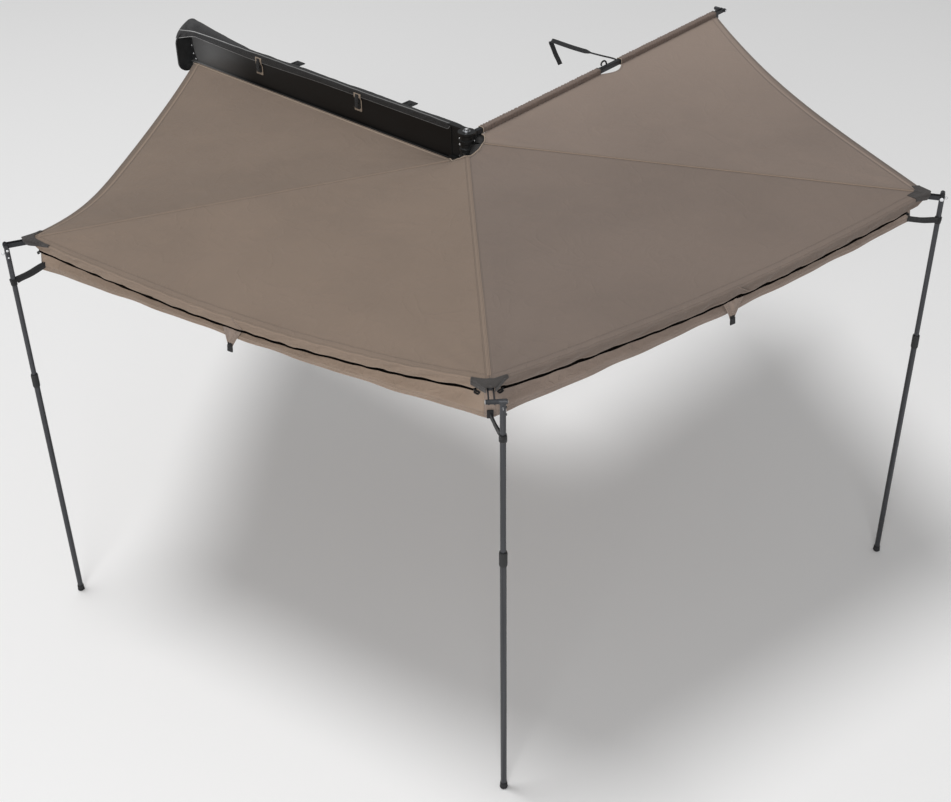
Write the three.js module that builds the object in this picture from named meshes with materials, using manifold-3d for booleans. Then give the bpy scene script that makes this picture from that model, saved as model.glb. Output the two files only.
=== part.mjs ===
// A side awning for a vehicle's roof rack. Four arms on one pivot bolt swing out of a long flat case
// and spread a fan of cloth round the corner, and each arm drops a telescopic leg to the ground.
// Millimetres, +Z up. X runs along the case towards the pivot and -Y points away from the vehicle.
// The model is built about the pivot bolt, with z = 0 halfway up the stack of arms, and the finished
// group has its origin under the rear bracket's foot, where the awning is bolted to a crossbar.
import * as THREE from "three";
import { mergeVertices } from "three/addons/utils/BufferGeometryUtils.js";
import Module from "manifold-3d";

// Fits and cuts
const runningGap = 0.3; // between pieces that move on each other or butt together
const sewnGap = 0.4; // between cloth and what it lies on
const overrun = 2; // how far a cut runs past the face it opens
const mergeDistance = 0.001;

// Fan of arms. Headings are degrees from the X axis, anticlockwise seen from above.
const armCount = 4;
const firstHeading = 247.5;
const headingStep = 67.5;
const armRise = 1.5;
const levelPitch = 40;
const groundDrop = 1907;
const armReach = 2140;
const armWidth = 25;
const armHeight = 26;
const armWall = 2;
const armCorner = 4;
const armTubeStart = 64;
const armPlugLength = 34;

// Pivot stack
const pivotRadius = 8;
const eyeRadius = 36;
const eyeWaistRadius = 31;
const eyeFlange = 6;
const eyeGap = 0.6;
const neckWidth = 40;
const neckPocketWidth = 16;
const neckPocketLength = 20;
const neckPocketDepth = 7;

// Hinge head
const lugRadius = 43;
const lugThickness = 8;
const webThickness = 7.7;
const webStart = -130;
const webEnd = -40;
const lugBackDepth = 28;
const ribWidth = 6;
const headBoltRadius = 8;
const headBoltHeight = 5;
const headBoltPlace = -66;
const headBoltHeights = [23, -5, -67];
const pivotHeadRadius = 13;
const pivotHeadHeight = 9;
const washerRadius = 19;
const washerThickness = 2.5;

// Fork and axle at the end of an arm
const forkLength = 104;
const forkShoulder = 14;
const forkPlate = 5;
const forkPlateHeight = 18;
const forkEndRadius = 11;
const axleSleeveRadius = 9;
const axleSleeveStart = -18;
const axleSleeveEnd = 24;
const axleHead = 4;
const axleRadius = 5;
const axleCapRadius = 8;
const axleCapThickness = 2.5;

// Telescopic leg
const legOffset = 38;
const barrelRadius = 10;
const barrelLength = 27.5;
const upperRadius = 11;
const upperWall = 1.5;
const upperLength = 1100;
const lowerRadius = 12.5;
const lowerLength = 1260;
const telescopeGap = 0.4;
const collarRadius = 16;
const collarHeight = 66;
const collarTop = 1275;
const collarLip = 6.7;
const gripCount = 8;
const gripRadius = 1.6;
const footRadius = 16.5;
const footHeight = 32;
const footSole = 8;
const footRib = 1.2;
const legBoltRadius = 4.5;
const legBoltHeight = 3;
const legBoltDrops = [24, 54];
const lockPinRadius = 2.5;
const lockPinDrop = 17;
const lockPinStart = 4;
const lockPinEnd = 13;
const lockRingRadius = 5.5;
const lockRingWire = 1.2;

// Case
const wallFront = 36;
const wallThickness = 3;
const wallTop = 74;
const wallBottom = -110;
const wallRight = -62;
const wallLeft = -2176;
const lipRadius = 6;
const lipBore = 3.5;
const lipSlot = 3.4;
const lipForward = 7;
const railHeight = 26;
const railDepth = 15;
const railLevel = 20;
const railChannelHeight = 15.6;
const railChannelDepth = 6.4;
const railSlot = 9;
const railSkin = 3;
const bearingRibLevel = -70;
const bearingRibHeight = 12;

// End cap
const capThickness = 4;
const capRim = 7;
const capRimWall = 3;
const capFront = -68;
const capBack = 54;
const capTop = 76;
const capBottom = -150;
const capFrontRadius = 60;
const capBackRadius = 10;

// Brackets to the crossbars
const bracketRear = -500;
const bracketFront = -1350;
const bracketWidth = 60;
const bracketPlate = 6;
const bracketBottom = -84;
const footUnderside = 50;
const footReach = 96;
const footSlotLength = 26;
const footSlotWidth = 8.5;
const footSlotInset = 15;
const gussetThickness = 5;
const gussetReach = 46;
const tBoltHead = 15;
const tBoltHeadThickness = 5.5;
const tBoltRadius = 4;
const tBoltLength = 32;
const nutRadius = 7.5;
const nutHeight = 6.5;

// Soft cover of the case
const coverThickness = 2.5;
const flapReach = 78;
const flapHump = 62;
const flapHumpLength = 420;
const flapEnd = -90;
const flapDroop = 12;
const flapFolds = 5;
const lowerFlapDepth = 190;
const lowerFlapGap = 1;
const lowerFlapWave = 5;

// Compression straps and buckles on the wall's face
const strapFront = -1565;
const strapRear = -785;
const strapWidth = 50;
const strapThickness = 2;
const strapDrop = 108;
const strapHook = 10;
const buckleWidth = 38;
const buckleHeight = 60;
const buckleThickness = 7;
const buckleWindow = 16;
const buckleBar = 6;
const buckleDrop = 34;

// Canopy
const cornerInset = 106; // from an arm's end in to the cloth's corner
const canopyReach = armReach - cornerInset;
const canopyInner = 82;
const clothThickness = 2;
const ridgeHalfWidth = 14.5;
const seamGap = 0.5;
const hemSag = 85;
const hemFall = 46;
const frontEdgeSag = 35;
const frontEdgeConcavity = 95;
const rearEdgeSag = 15;
const rearEdgeConcavity = 36;
const wallEdgeStart = -92;
const wallEdgeEnd = -2150;
const wallEdgeFlat = 12;
const beadRadius = 2.8;
const sleeveThickness = 1.5;
const sleeveStart = 100;
const sleeveGapStart = 1110;
const sleeveGapEnd = 1280;
const sleeveTail = 10;

// Valances and leg straps
const valanceCornerGap = 24;
const valanceDrop = 155;
const valanceWave = 8;
const valanceFolds = 6;
const legStrapDrops = [141, 137, 109]; // from the axle down to the cuff, leg by leg
const legCuffHeight = 30;
const legCuffWall = 2;
const legStrapWidth = 25;
const legStrapThickness = 2;
const legStrapTop = 118;
const legStrapSpread = 18;

// Tie strap from the last arm to the crossbar's end
const tieWidth = 25;
const tieThickness = 2;
const tieRoute = [
  [-14, 1240, 92],
  [-160, 1227, 82],
  [-300, 1214, 71],
  [-430, 1202, 61],
  [-520, 1193, 54],
  [-560, 1189, 42],
  [-556, 1189, 22],
  [-540, 1190, -4],
  [-528, 1190, -40],
];

// Facets
const tieSteps = 22;
const roundSides = 24;
const tubeSides = 16;
const smallSides = 10;
const wireSides = 6;
const cornerSegments = 2;
const capSegments = 6;

// Shares of the sizes above
const neckFrontShare = 0.62;
const gripShare = 0.62;
const soleShare = 0.8;
const flapRiseShare = 0.2;
const flapFoldShare = 0.33;

const quarterTurn = Math.PI / 2;
const radians = THREE.MathUtils.degToRad;

const wasm = await Module();
wasm.setup();

const finish = (color, roughness, metalness) =>
  new THREE.MeshStandardMaterial({ color, roughness, metalness });
const darkCoat = finish(0x26272a, 0.45, 0.6);
const caseCoat = finish(0x1d1e1f, 0.5, 0.5);
const legCoat = finish(0x4b4d52, 0.4, 0.7);
const brightSteel = finish(0xc9ccd0, 0.25, 1);
const blackPlastic = finish(0x161718, 0.55, 0);
const blackRubber = finish(0x202124, 0.85, 0);
const coverCloth = finish(0x2b2c2e, 0.8, 0);
const canopyCloth = finish(0x82705f, 0.9, 0);
const sleeveCloth = finish(0x6b5a52, 0.9, 0);
const webbing = finish(0x232325, 0.85, 0);
const tanWebbing = finish(0x6f655c, 0.85, 0);

// A closed solid from a closed geometry. A profile drawn clockwise is turned to face out.
function solid(geometry) {
  const bare = geometry.index ? geometry.toNonIndexed() : geometry.clone();
  bare.deleteAttribute("normal");
  bare.deleteAttribute("uv");
  const merged = mergeVertices(bare, mergeDistance);
  const corners = [];
  for (let i = 0; i < merged.index.count; i += 3) {
    const triangle = [merged.index.getX(i), merged.index.getX(i + 1), merged.index.getX(i + 2)];
    if (new Set(triangle).size === triangle.length) corners.push(triangle);
  }
  const made = (list) =>
    new wasm.Manifold(
      new wasm.Mesh({
        numProp: 3,
        vertProperties: merged.attributes.position.array,
        triVerts: new Uint32Array(list.flat()),
      }),
    );
  const first = made(corners);
  return first.volume() > 0 ? first : made(corners.map(([a, b, c]) => [a, c, b]));
}

const join = (first, ...others) => others.reduce((sum, next) => sum.add(next), first);
const cut = (first, ...others) => others.reduce((rest, next) => rest.subtract(next), first);

// A named mesh of one solid
function part(name, made, material) {
  const { vertProperties, triVerts } = made.getMesh();
  const indexed = new THREE.BufferGeometry();
  indexed.setAttribute("position", new THREE.BufferAttribute(vertProperties, 3));
  indexed.setIndex(new THREE.BufferAttribute(triVerts, 1));
  const geometry = indexed.toNonIndexed();
  geometry.computeVertexNormals();
  const mesh = new THREE.Mesh(geometry, material);
  mesh.name = name;
  return mesh;
}

function box([x0, x1], [y0, y1], [z0, z1]) {
  const geometry = new THREE.BoxGeometry(x1 - x0, y1 - y0, z1 - z0);
  return solid(geometry.translate((x0 + x1) / 2, (y0 + y1) / 2, (z0 + z1) / 2));
}

// Turns a geometry made along Z to lie along another axis
const alongX = new THREE.Matrix4().makeBasis(
  new THREE.Vector3(0, 1, 0),
  new THREE.Vector3(0, 0, 1),
  new THREE.Vector3(1, 0, 0),
);
const alongY = new THREE.Matrix4().makeBasis(
  new THREE.Vector3(0, 0, 1),
  new THREE.Vector3(1, 0, 0),
  new THREE.Vector3(0, 1, 0),
);
const alongZ = new THREE.Matrix4();

// A round bar along Z from one height to another, then turned and moved
function bar(direction, radius, [from, to], [x, y, z] = [0, 0, 0], sides = roundSides) {
  const geometry = new THREE.CylinderGeometry(radius, radius, to - from, sides);
  geometry.rotateX(quarterTurn).translate(0, 0, (from + to) / 2);
  return solid(geometry.applyMatrix4(direction).translate(x, y, z));
}

// A hole whose flats stay a full radius from its axis, run past both ends
function hole(direction, radius, [from, to], place, sides = roundSides) {
  const reach = radius / Math.cos(Math.PI / sides);
  return bar(direction, reach, [from - overrun, to + overrun], place, sides);
}

// A turned piece about Z, from [radius, height] pairs that start and end on the axis
function turned(profile, sides = roundSides) {
  const points = profile.map(([radius, height]) => new THREE.Vector2(radius, height));
  return solid(new THREE.LatheGeometry(points, sides).rotateX(quarterTurn));
}

// A flat outline run along an axis. Along X it is drawn in Y and Z, along Y in Z and X.
function prism(direction, shape, [from, to], curveSegments = cornerSegments) {
  const options = { depth: to - from, bevelEnabled: false, curveSegments };
  const geometry = new THREE.ExtrudeGeometry(shape, options).translate(0, 0, from);
  return solid(geometry.applyMatrix4(direction));
}

function roundedRectangle([u0, u1], [v0, v1], radii) {
  const [lowLeft, lowRight, highRight, highLeft] = Array.isArray(radii)
    ? radii
    : [radii, radii, radii, radii];
  const shape = new THREE.Shape();
  shape.absarc(u0 + lowLeft, v0 + lowLeft, lowLeft, Math.PI, 3 * quarterTurn);
  shape.absarc(u1 - lowRight, v0 + lowRight, lowRight, 3 * quarterTurn, 4 * quarterTurn);
  shape.absarc(u1 - highRight, v1 - highRight, highRight, 0, quarterTurn);
  shape.absarc(u0 + highLeft, v1 - highLeft, highLeft, quarterTurn, Math.PI);
  shape.closePath();
  return shape;
}

const outline = (points) => new THREE.Shape(points.map(([u, v]) => new THREE.Vector2(u, v)));

// A sheet: pointAt(i, j) is its underside on a grid, and lift is the way to its upper side
function sheet(rows, columns, pointAt, lift) {
  const positions = [];
  const index = [];
  const place = (side, i, j) => (side * (rows + 1) + i) * (columns + 1) + j;
  for (const side of [0, 1]) {
    for (let i = 0; i <= rows; i += 1) {
      for (let j = 0; j <= columns; j += 1) {
        const point = pointAt(i, j).clone();
        if (side) point.add(lift(i, j));
        positions.push(point.x, point.y, point.z);
      }
    }
  }
  const quad = (a, b, c, d) => index.push(a, b, c, a, c, d);
  for (let i = 0; i < rows; i += 1) {
    for (let j = 0; j < columns; j += 1) {
      quad(place(0, i, j), place(0, i, j + 1), place(0, i + 1, j + 1), place(0, i + 1, j));
      quad(place(1, i, j), place(1, i + 1, j), place(1, i + 1, j + 1), place(1, i, j + 1));
    }
  }
  for (let i = 0; i < rows; i += 1) {
    quad(place(0, i, 0), place(0, i + 1, 0), place(1, i + 1, 0), place(1, i, 0));
    quad(place(0, i + 1, columns), place(0, i, columns), place(1, i, columns), place(1, i + 1, columns));
  }
  for (let j = 0; j < columns; j += 1) {
    quad(place(0, 0, j + 1), place(0, 0, j), place(1, 0, j), place(1, 0, j + 1));
    quad(place(0, rows, j), place(0, rows, j + 1), place(1, rows, j + 1), place(1, rows, j));
  }
  const geometry = new THREE.BufferGeometry();
  geometry.setAttribute("position", new THREE.Float32BufferAttribute(positions, 3));
  geometry.setIndex(index);
  return solid(geometry);
}

const awning = new THREE.Group();
const frame = new THREE.Group();
frame.position.set(-bracketRear, -(wallFront + wallThickness + railDepth + runningGap + footReach / 2),
  -footUnderside);
awning.add(frame);

// Case: one long extrusion with a rail for the crossbar brackets behind and a lip for the cloth's
// beaded edge along its lower front
const wallBack = wallFront + wallThickness;
const railBack = wallBack + railDepth;
const lipCentre = [wallFront - lipForward, wallBottom + lipRadius];

function backWall() {
  const length = [wallLeft, wallRight];
  const plate = prism(alongX, outline([
    [wallFront, wallBottom],
    [wallBack, wallBottom],
    [wallBack, wallTop],
    [wallFront, wallTop],
  ]), length);
  const lipWeb = box(length, [lipCentre[0], wallFront + runningGap], [wallBottom, wallBottom + lipRadius]);
  const lip = bar(alongX, lipRadius, length, [0, ...lipCentre], smallSides);
  const rail = box(length, [wallFront + runningGap, railBack],
    [railLevel - railHeight / 2, railLevel + railHeight / 2]);
  const channelBack = railBack - railSkin;
  const channel = box([wallLeft - overrun, wallRight + overrun],
    [channelBack - railChannelDepth, channelBack],
    [railLevel - railChannelHeight / 2, railLevel + railChannelHeight / 2]);
  const slot = box([wallLeft - overrun, wallRight + overrun],
    [channelBack - overrun, railBack + overrun],
    [railLevel - railSlot / 2, railLevel + railSlot / 2]);
  const bearingRib = box(length, [wallFront + runningGap, railBack],
    [bearingRibLevel - bearingRibHeight / 2, bearingRibLevel + bearingRibHeight / 2]);
  const topLip = bar(alongX, lipRadius / 2, length, [0, wallBack - runningGap, wallTop - lipRadius / 2],
    smallSides);
  const beadBore = hole(alongX, lipBore, length, [0, ...lipCentre], smallSides);
  const beadSlot = box([wallLeft - overrun, wallRight + overrun],
    [lipCentre[0] - lipRadius - overrun, lipCentre[0]],
    [lipCentre[1] - lipSlot / 2, lipCentre[1] + lipSlot / 2]);
  return cut(join(plate, lipWeb, lip, rail, bearingRib, topLip), channel, slot, beadBore, beadSlot);
}

// Hinge head: a plate on the case's end with two round-nosed lugs that take the pivot bolt
const stackHalf = (armCount * levelPitch) / 2;
const lugInner = stackHalf + runningGap;
const lugOuter = lugInner + lugThickness;
const webBack = wallFront - runningGap;
const webFront = webBack - webThickness;

function hingeHead() {
  const web = box([webStart, webEnd], [webFront, webBack], [-lugOuter, lugOuter]);
  const lugs = [-1, 1].map((side) => {
    const span = side > 0 ? [lugInner, lugOuter] : [-lugOuter, -lugInner];
    const nose = bar(alongZ, lugRadius, span);
    const tail = box([webStart, 0], [webBack - lugBackDepth, webBack], span);
    return join(nose, tail);
  });
  const rib = box([webStart, webStart + ribWidth], [webFront - ribWidth / 2, webFront + runningGap],
    [-lugInner, lugInner]);
  const bolts = headBoltHeights.map((height) =>
    bar(alongY, headBoltRadius, [webFront - headBoltHeight, webFront + runningGap],
      [headBoltPlace, 0, height], wireSides));
  const bore = hole(alongZ, pivotRadius + runningGap, [-lugOuter, lugOuter]);
  return cut(join(web, ...lugs, rib, ...bolts), bore);
}

function pivotBolt() {
  const shaftEnd = lugOuter + runningGap + washerThickness + nutHeight + nutHeight;
  const washerBase = lugOuter + runningGap;
  const shaft = bar(alongZ, pivotRadius, [-shaftEnd, washerBase + washerThickness]);
  const washer = bar(alongZ, washerRadius, [washerBase, washerBase + washerThickness]);
  const head = bar(alongZ, pivotHeadRadius,
    [washerBase, washerBase + washerThickness + pivotHeadHeight], [0, 0, 0], wireSides);
  const socket = bar(alongZ, pivotHeadRadius / 2,
    [washerBase + washerThickness + pivotHeadHeight / 2, washerBase + washerThickness + pivotHeadHeight + overrun],
    [0, 0, 0], wireSides);
  return cut(join(shaft, washer, head), socket);
}

function pivotNut() {
  const top = -lugOuter - runningGap;
  const washer = bar(alongZ, washerRadius, [top - washerThickness, top]);
  const nut = bar(alongZ, pivotHeadRadius, [top - washerThickness - pivotHeadHeight, top],
    [0, 0, 0], wireSides);
  return cut(join(washer, nut), hole(alongZ, pivotRadius + runningGap, [top - nutHeight - nutHeight, top]));
}

// End cap at the front of the case: a D-shaped plate with a rim, open where the cloth leaves
function frontEndCap() {
  const radii = [capFrontRadius, capBackRadius, capBackRadius, capFrontRadius];
  const whole = roundedRectangle([capFront, capBack], [capBottom, capTop], radii);
  const inner = roundedRectangle(
    [capFront + capRimWall, capBack - capRimWall],
    [capBottom + capRimWall, capTop - capRimWall],
    radii.map((radius) => radius - capRimWall),
  );
  const inside = wallLeft - runningGap;
  const body = prism(alongX, whole, [inside - capThickness, inside], capSegments);
  const rim = prism(alongX, whole, [inside - capThickness, wallLeft + capRim], capSegments);
  const hollow = prism(alongX, inner, [inside, wallLeft + capRim + overrun], capSegments);
  const wallSpace = box([inside, wallLeft + capRim + overrun],
    [lipCentre[0] - lipRadius - runningGap, capBack + overrun],
    [capBottom + capRimWall + overrun, capTop + overrun]);
  return join(body, cut(rim, hollow, wallSpace));
}

// Bracket: an L with two gussets, bolted to the case's rail, with slots for the crossbar's bolts
const bracketFace = railBack + runningGap;

function bracket(centre) {
  const across = [centre - bracketWidth / 2, centre + bracketWidth / 2];
  const upright = box(across, [bracketFace, bracketFace + bracketPlate],
    [bracketBottom, footUnderside + bracketPlate]);
  const foot = box(across, [bracketFace, bracketFace + footReach],
    [footUnderside, footUnderside + bracketPlate]);
  const gussetShape = outline([
    [bracketFace, footUnderside + bracketPlate],
    [bracketFace, footUnderside - gussetReach],
    [bracketFace + bracketPlate, footUnderside - gussetReach],
    [bracketFace + bracketPlate + gussetReach / 2, footUnderside],
    [bracketFace + bracketPlate + gussetReach / 2, footUnderside + bracketPlate],
  ]);
  const gussets = [across[0], across[1] - gussetThickness].map((x) =>
    prism(alongX, gussetShape, [x, x + gussetThickness]));
  const slots = [-1, 1].map((side) => {
    const middle = centre + side * footSlotInset;
    const shape = roundedRectangle([middle - footSlotWidth / 2, middle + footSlotWidth / 2],
      [bracketFace + footReach / 2 - footSlotLength / 2 + footSlotWidth,
        bracketFace + footReach / 2 + footSlotLength / 2 + footSlotWidth], footSlotWidth / 2);
    return prism(alongZ, shape, [footUnderside - overrun, footUnderside + bracketPlate + overrun]);
  });
  const boltHole = hole(alongY, tBoltRadius + runningGap, [bracketFace, bracketFace + bracketPlate],
    [centre, 0, railLevel], smallSides);
  return cut(join(upright, foot, ...gussets), ...slots, boltHole);
}

// A bolt whose square head slides in the rail, with its nut on the bracket
function bracketBolt(centre) {
  const headFront = railBack - railSkin - railChannelDepth + runningGap;
  const head = box([centre - tBoltHead / 2, centre + tBoltHead / 2],
    [headFront, headFront + tBoltHeadThickness],
    [railLevel - tBoltHead / 2, railLevel + tBoltHead / 2]);
  const shank = bar(alongY, tBoltRadius, [headFront, headFront + tBoltLength],
    [centre, 0, railLevel], smallSides);
  const seat = bracketFace + bracketPlate + runningGap;
  const nut = bar(alongY, nutRadius, [seat, seat + nutHeight], [centre, 0, railLevel], wireSides);
  return join(head, shank, nut);
}

// The cover's upper flap, thrown back over the case. It humps up at the front end, over the end cap.
function bagFlap() {
  const columns = 18;
  const rows = 5;
  const base = Math.max(capTop, wallTop + sewnGap + strapThickness) + 2 * sewnGap;
  const startX = wallLeft - capThickness - runningGap;
  const pointAt = (i, j) => {
    const along = j / columns;
    const across = i / rows;
    const x = startX + (flapEnd - startX) * along;
    const fromFront = Math.min(1, (x - startX) / flapHumpLength);
    const hump = flapHump * Math.cos(fromFront * quarterTurn) ** 2;
    const fold = Math.sin(along * Math.PI * flapFolds) * across ** 2 * flapDroop * flapFoldShare;
    const rise = Math.sin(across * Math.PI) * hump + across * hump * flapRiseShare;
    const y = wallFront + flapReach * across;
    return new THREE.Vector3(x, y, base + rise + fold - flapDroop * across ** 2);
  };
  const lift = new THREE.Vector3(0, 0, coverThickness);
  return sheet(rows, columns, pointAt, () => lift);
}

// The cover's lower flap hangs from the case's lower edge, behind the cloth
function lowerFlap() {
  const columns = 20;
  const rows = 3;
  const start = wallLeft + capRim + runningGap;
  const pointAt = (i, j) => {
    const x = start + (flapEnd - start) * (j / columns);
    const down = i / rows;
    const wave = Math.sin((j / columns) * Math.PI * flapFolds) * lowerFlapWave * down;
    const top = wallBottom - lowerFlapGap / 2;
    return new THREE.Vector3(x, wallFront + lowerFlapWave + wave, top - lowerFlapDepth * down);
  };
  const lift = new THREE.Vector3(0, coverThickness, 0);
  return sheet(rows, columns, pointAt, () => lift);
}

// A compression strap: hooked over the wall's top edge, down its face, with a buckle on its loop
function compressionStrap(centre) {
  const across = [centre - strapWidth / 2, centre + strapWidth / 2];
  const front = wallFront - sewnGap;
  const top = wallTop + sewnGap;
  const shape = outline([
    [wallBack + lipRadius / 2 + sewnGap, top - strapHook],
    [wallBack + lipRadius / 2 + sewnGap + strapThickness, top - strapHook],
    [wallBack + lipRadius / 2 + sewnGap + strapThickness, top + strapThickness],
    [front - strapThickness, top + strapThickness],
    [front - strapThickness, top - strapDrop],
    [front, top - strapDrop],
    [front, top],
    [wallBack + lipRadius / 2 + sewnGap, top],
  ]);
  return prism(alongX, shape, across);
}

function buckle(centre) {
  const back = wallFront - sewnGap - strapThickness - runningGap;
  const middle = wallTop - buckleDrop - buckleHeight / 2;
  const shape = roundedRectangle([middle - buckleHeight / 2, middle + buckleHeight / 2],
    [centre - buckleWidth / 2, centre + buckleWidth / 2], buckleBar);
  const body = prism(alongY, shape, [back - buckleThickness, back]);
  const windows = [-1, 1].map((side) =>
    box([centre - buckleWidth / 2 + buckleBar, centre + buckleWidth / 2 - buckleBar],
      [back - buckleThickness - overrun, back + overrun],
      [middle + side * (buckleBar / 2 + buckleWindow / 2) - buckleWindow / 2,
        middle + side * (buckleBar / 2 + buckleWindow / 2) + buckleWindow / 2]));
  return cut(body, ...windows);
}

// Arms
const level = (k) => (k - (armCount + 1) / 2) * levelPitch;
const heading = (k) => radians(firstHeading + (k - 1) * headingStep);
const rise = radians(armRise);
const armTubeEnd = armReach - forkLength;

function armTube() {
  const outer = roundedRectangle([-armWidth / 2, armWidth / 2], [-armHeight / 2, armHeight / 2], armCorner);
  outer.holes.push(roundedRectangle(
    [armWall - armWidth / 2, armWidth / 2 - armWall],
    [armWall - armHeight / 2, armHeight / 2 - armWall],
    armCorner - armWall,
  ));
  return prism(alongX, outer, [armTubeStart, armTubeEnd], cornerSegments);
}

// The block that fills an arm's end, with the tube's own clearance round it
function plug(span, direction = alongX) {
  const halfWidth = armWidth / 2 - armWall - runningGap;
  const halfHeight = armHeight / 2 - armWall - runningGap;
  const shape = roundedRectangle([-halfWidth, halfWidth], [-halfHeight, halfHeight], armCorner - armWall);
  return prism(direction, shape, span, 1);
}

// Knuckle: a spool-shaped eye on the pivot bolt, with a waisted neck that plugs into the arm
function knuckle() {
  const half = (levelPitch - eyeGap) / 2;
  const eye = turned([
    [0, -half],
    [eyeRadius, -half],
    [eyeRadius, eyeFlange - half],
    [eyeWaistRadius, eyeFlange - half + (eyeRadius - eyeWaistRadius)],
    [eyeWaistRadius, half - eyeFlange - (eyeRadius - eyeWaistRadius)],
    [eyeRadius, half - eyeFlange],
    [eyeRadius, half],
    [0, half],
  ]);
  const shoulder = armTubeStart - runningGap;
  const neckShape = outline([
    [0, -neckWidth / 2],
    [eyeRadius, -neckWidth / 2],
    [shoulder - (neckWidth - armWidth) / 2, -armWidth / 2],
    [shoulder, -armWidth / 2],
    [shoulder, armWidth / 2],
    [shoulder - (neckWidth - armWidth) / 2, armWidth / 2],
    [eyeRadius, neckWidth / 2],
    [0, neckWidth / 2],
  ]);
  const lean = new THREE.Matrix4().makeRotationY(-rise);
  const neck = prism(lean, neckShape, [-armHeight / 2, armHeight / 2]);
  const pocketEnd = shoulder - armWall;
  const pockets = [-1, 1].map((side) => {
    const floor = side * (armHeight / 2 - neckPocketDepth);
    const sky = side * (armHeight / 2 + overrun);
    const shape = roundedRectangle([pocketEnd - neckPocketLength, pocketEnd],
      [-neckPocketWidth / 2, neckPocketWidth / 2], neckPocketWidth / 4);
    return prism(lean, shape, side > 0 ? [floor, sky] : [sky, floor]);
  });
  const stub = plug([shoulder - overrun, armTubeStart + armPlugLength], lean.clone().multiply(alongX));
  const bore = hole(alongZ, pivotRadius + runningGap, [-half, half]);
  return cut(join(eye, neck, stub), ...pockets, bore);
}

// Fork: plugs into the arm's end and carries the axle of the leg on two plates
function fork() {
  const end = [armReach, 0, 0];
  const shoulder = armTubeEnd + runningGap;
  const stub = plug([armTubeEnd - armPlugLength, shoulder + overrun]);
  const blockShape = roundedRectangle([-armWidth / 2, armWidth / 2], [-armHeight / 2, armHeight / 2], armCorner);
  const block = prism(alongX, blockShape, [shoulder, shoulder + forkShoulder]);
  const plates = [-1, 1].map((side) => {
    const outer = (side * armWidth) / 2;
    const inner = outer - side * forkPlate;
    const span = side > 0 ? [inner, outer] : [outer, inner];
    const strip = box([shoulder + forkShoulder - overrun, armReach], span,
      [-forkPlateHeight / 2, forkPlateHeight / 2]);
    return join(strip, bar(alongY, forkEndRadius, span, end, tubeSides));
  });
  const sleeve = bar(alongY, axleSleeveRadius, [axleSleeveStart, axleSleeveEnd], end, tubeSides);
  const head = bar(alongY, axleSleeveRadius - runningGap,
    [axleSleeveStart - axleHead, axleSleeveStart + runningGap], end, tubeSides);
  const capStart = axleSleeveEnd + runningGap + barrelLength + runningGap;
  const shaft = bar(alongY, axleRadius, [axleSleeveStart, capStart + axleCapThickness], end, smallSides);
  const cap = bar(alongY, axleCapRadius, [capStart, capStart + axleCapThickness], end, smallSides);
  return join(stub, block, ...plates, sleeve, head, shaft, cap);
}

// A length of round tube along Z
function pipe(outer, inner, span) {
  const shape = new THREE.Shape().absarc(0, 0, outer, 0, 4 * quarterTurn);
  shape.holes.push(new THREE.Path().absarc(0, 0, inner, 0, 4 * quarterTurn));
  return prism(alongZ, shape, span, tubeSides / 2);
}

// Legs. A leg's own frame has the axle's axis as Y, +X away from the pivot and the ground below.
function upperTube() {
  const start = axleSleeveEnd + runningGap - legOffset;
  const barrel = bar(alongY, barrelRadius, [start, start + barrelLength], [0, 0, 0], tubeSides);
  const tube = pipe(upperRadius, upperRadius - upperWall, [-upperLength, -barrelRadius]);
  const crown = bar(alongZ, upperRadius, [-barrelRadius - legBoltRadius, 0], [0, 0, 0], tubeSides);
  const bolts = legBoltDrops.map((drop) =>
    bar(alongY, legBoltRadius, [upperRadius - upperWall, upperRadius + legBoltHeight], [0, 0, -drop], smallSides));
  const bore = hole(alongY, axleRadius + runningGap, [start, start + barrelLength], [0, 0, 0], smallSides);
  const pinHole = hole(alongX, lockPinRadius + runningGap, [0, upperRadius], [0, 0, -lockPinDrop], smallSides);
  return cut(join(barrel, tube, crown, ...bolts), bore, pinHole);
}

function lowerTube(ground) {
  const bore = (upperRadius + telescopeGap) / Math.cos(Math.PI / tubeSides);
  return pipe(lowerRadius, bore, [ground + footSole, ground + footSole + lowerLength]);
}

// Collar: a ribbed cup that screws down on the lower tube's mouth and grips the upper tube
function collar(ground) {
  const top = ground + collarTop;
  const bottom = top - collarHeight;
  const body = turned([
    [0, bottom],
    [collarRadius * neckFrontShare + lowerRadius * (1 - neckFrontShare), bottom],
    [collarRadius, bottom + collarLip],
    [collarRadius, top - collarLip],
    [lowerRadius + armWall, top],
    [0, top],
  ], tubeSides);
  const centre = [0, 0, 0];
  const upperBore = hole(alongZ, upperRadius + telescopeGap, [bottom, top], centre, tubeSides);
  const mouth = ground + footSole + lowerLength + runningGap;
  const lowerBore = bar(alongZ, (lowerRadius + runningGap) / Math.cos(Math.PI / tubeSides),
    [bottom - overrun, mouth], centre, tubeSides);
  const grips = Array.from({ length: gripCount }, (_, i) => {
    const angle = (i / gripCount) * 4 * quarterTurn;
    const reach = collarRadius + gripRadius * gripShare;
    return bar(alongZ, gripRadius, [bottom + collarLip, top - collarLip],
      [reach * Math.cos(angle), reach * Math.sin(angle), 0], wireSides);
  });
  return cut(body, upperBore, lowerBore, ...grips);
}

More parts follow.
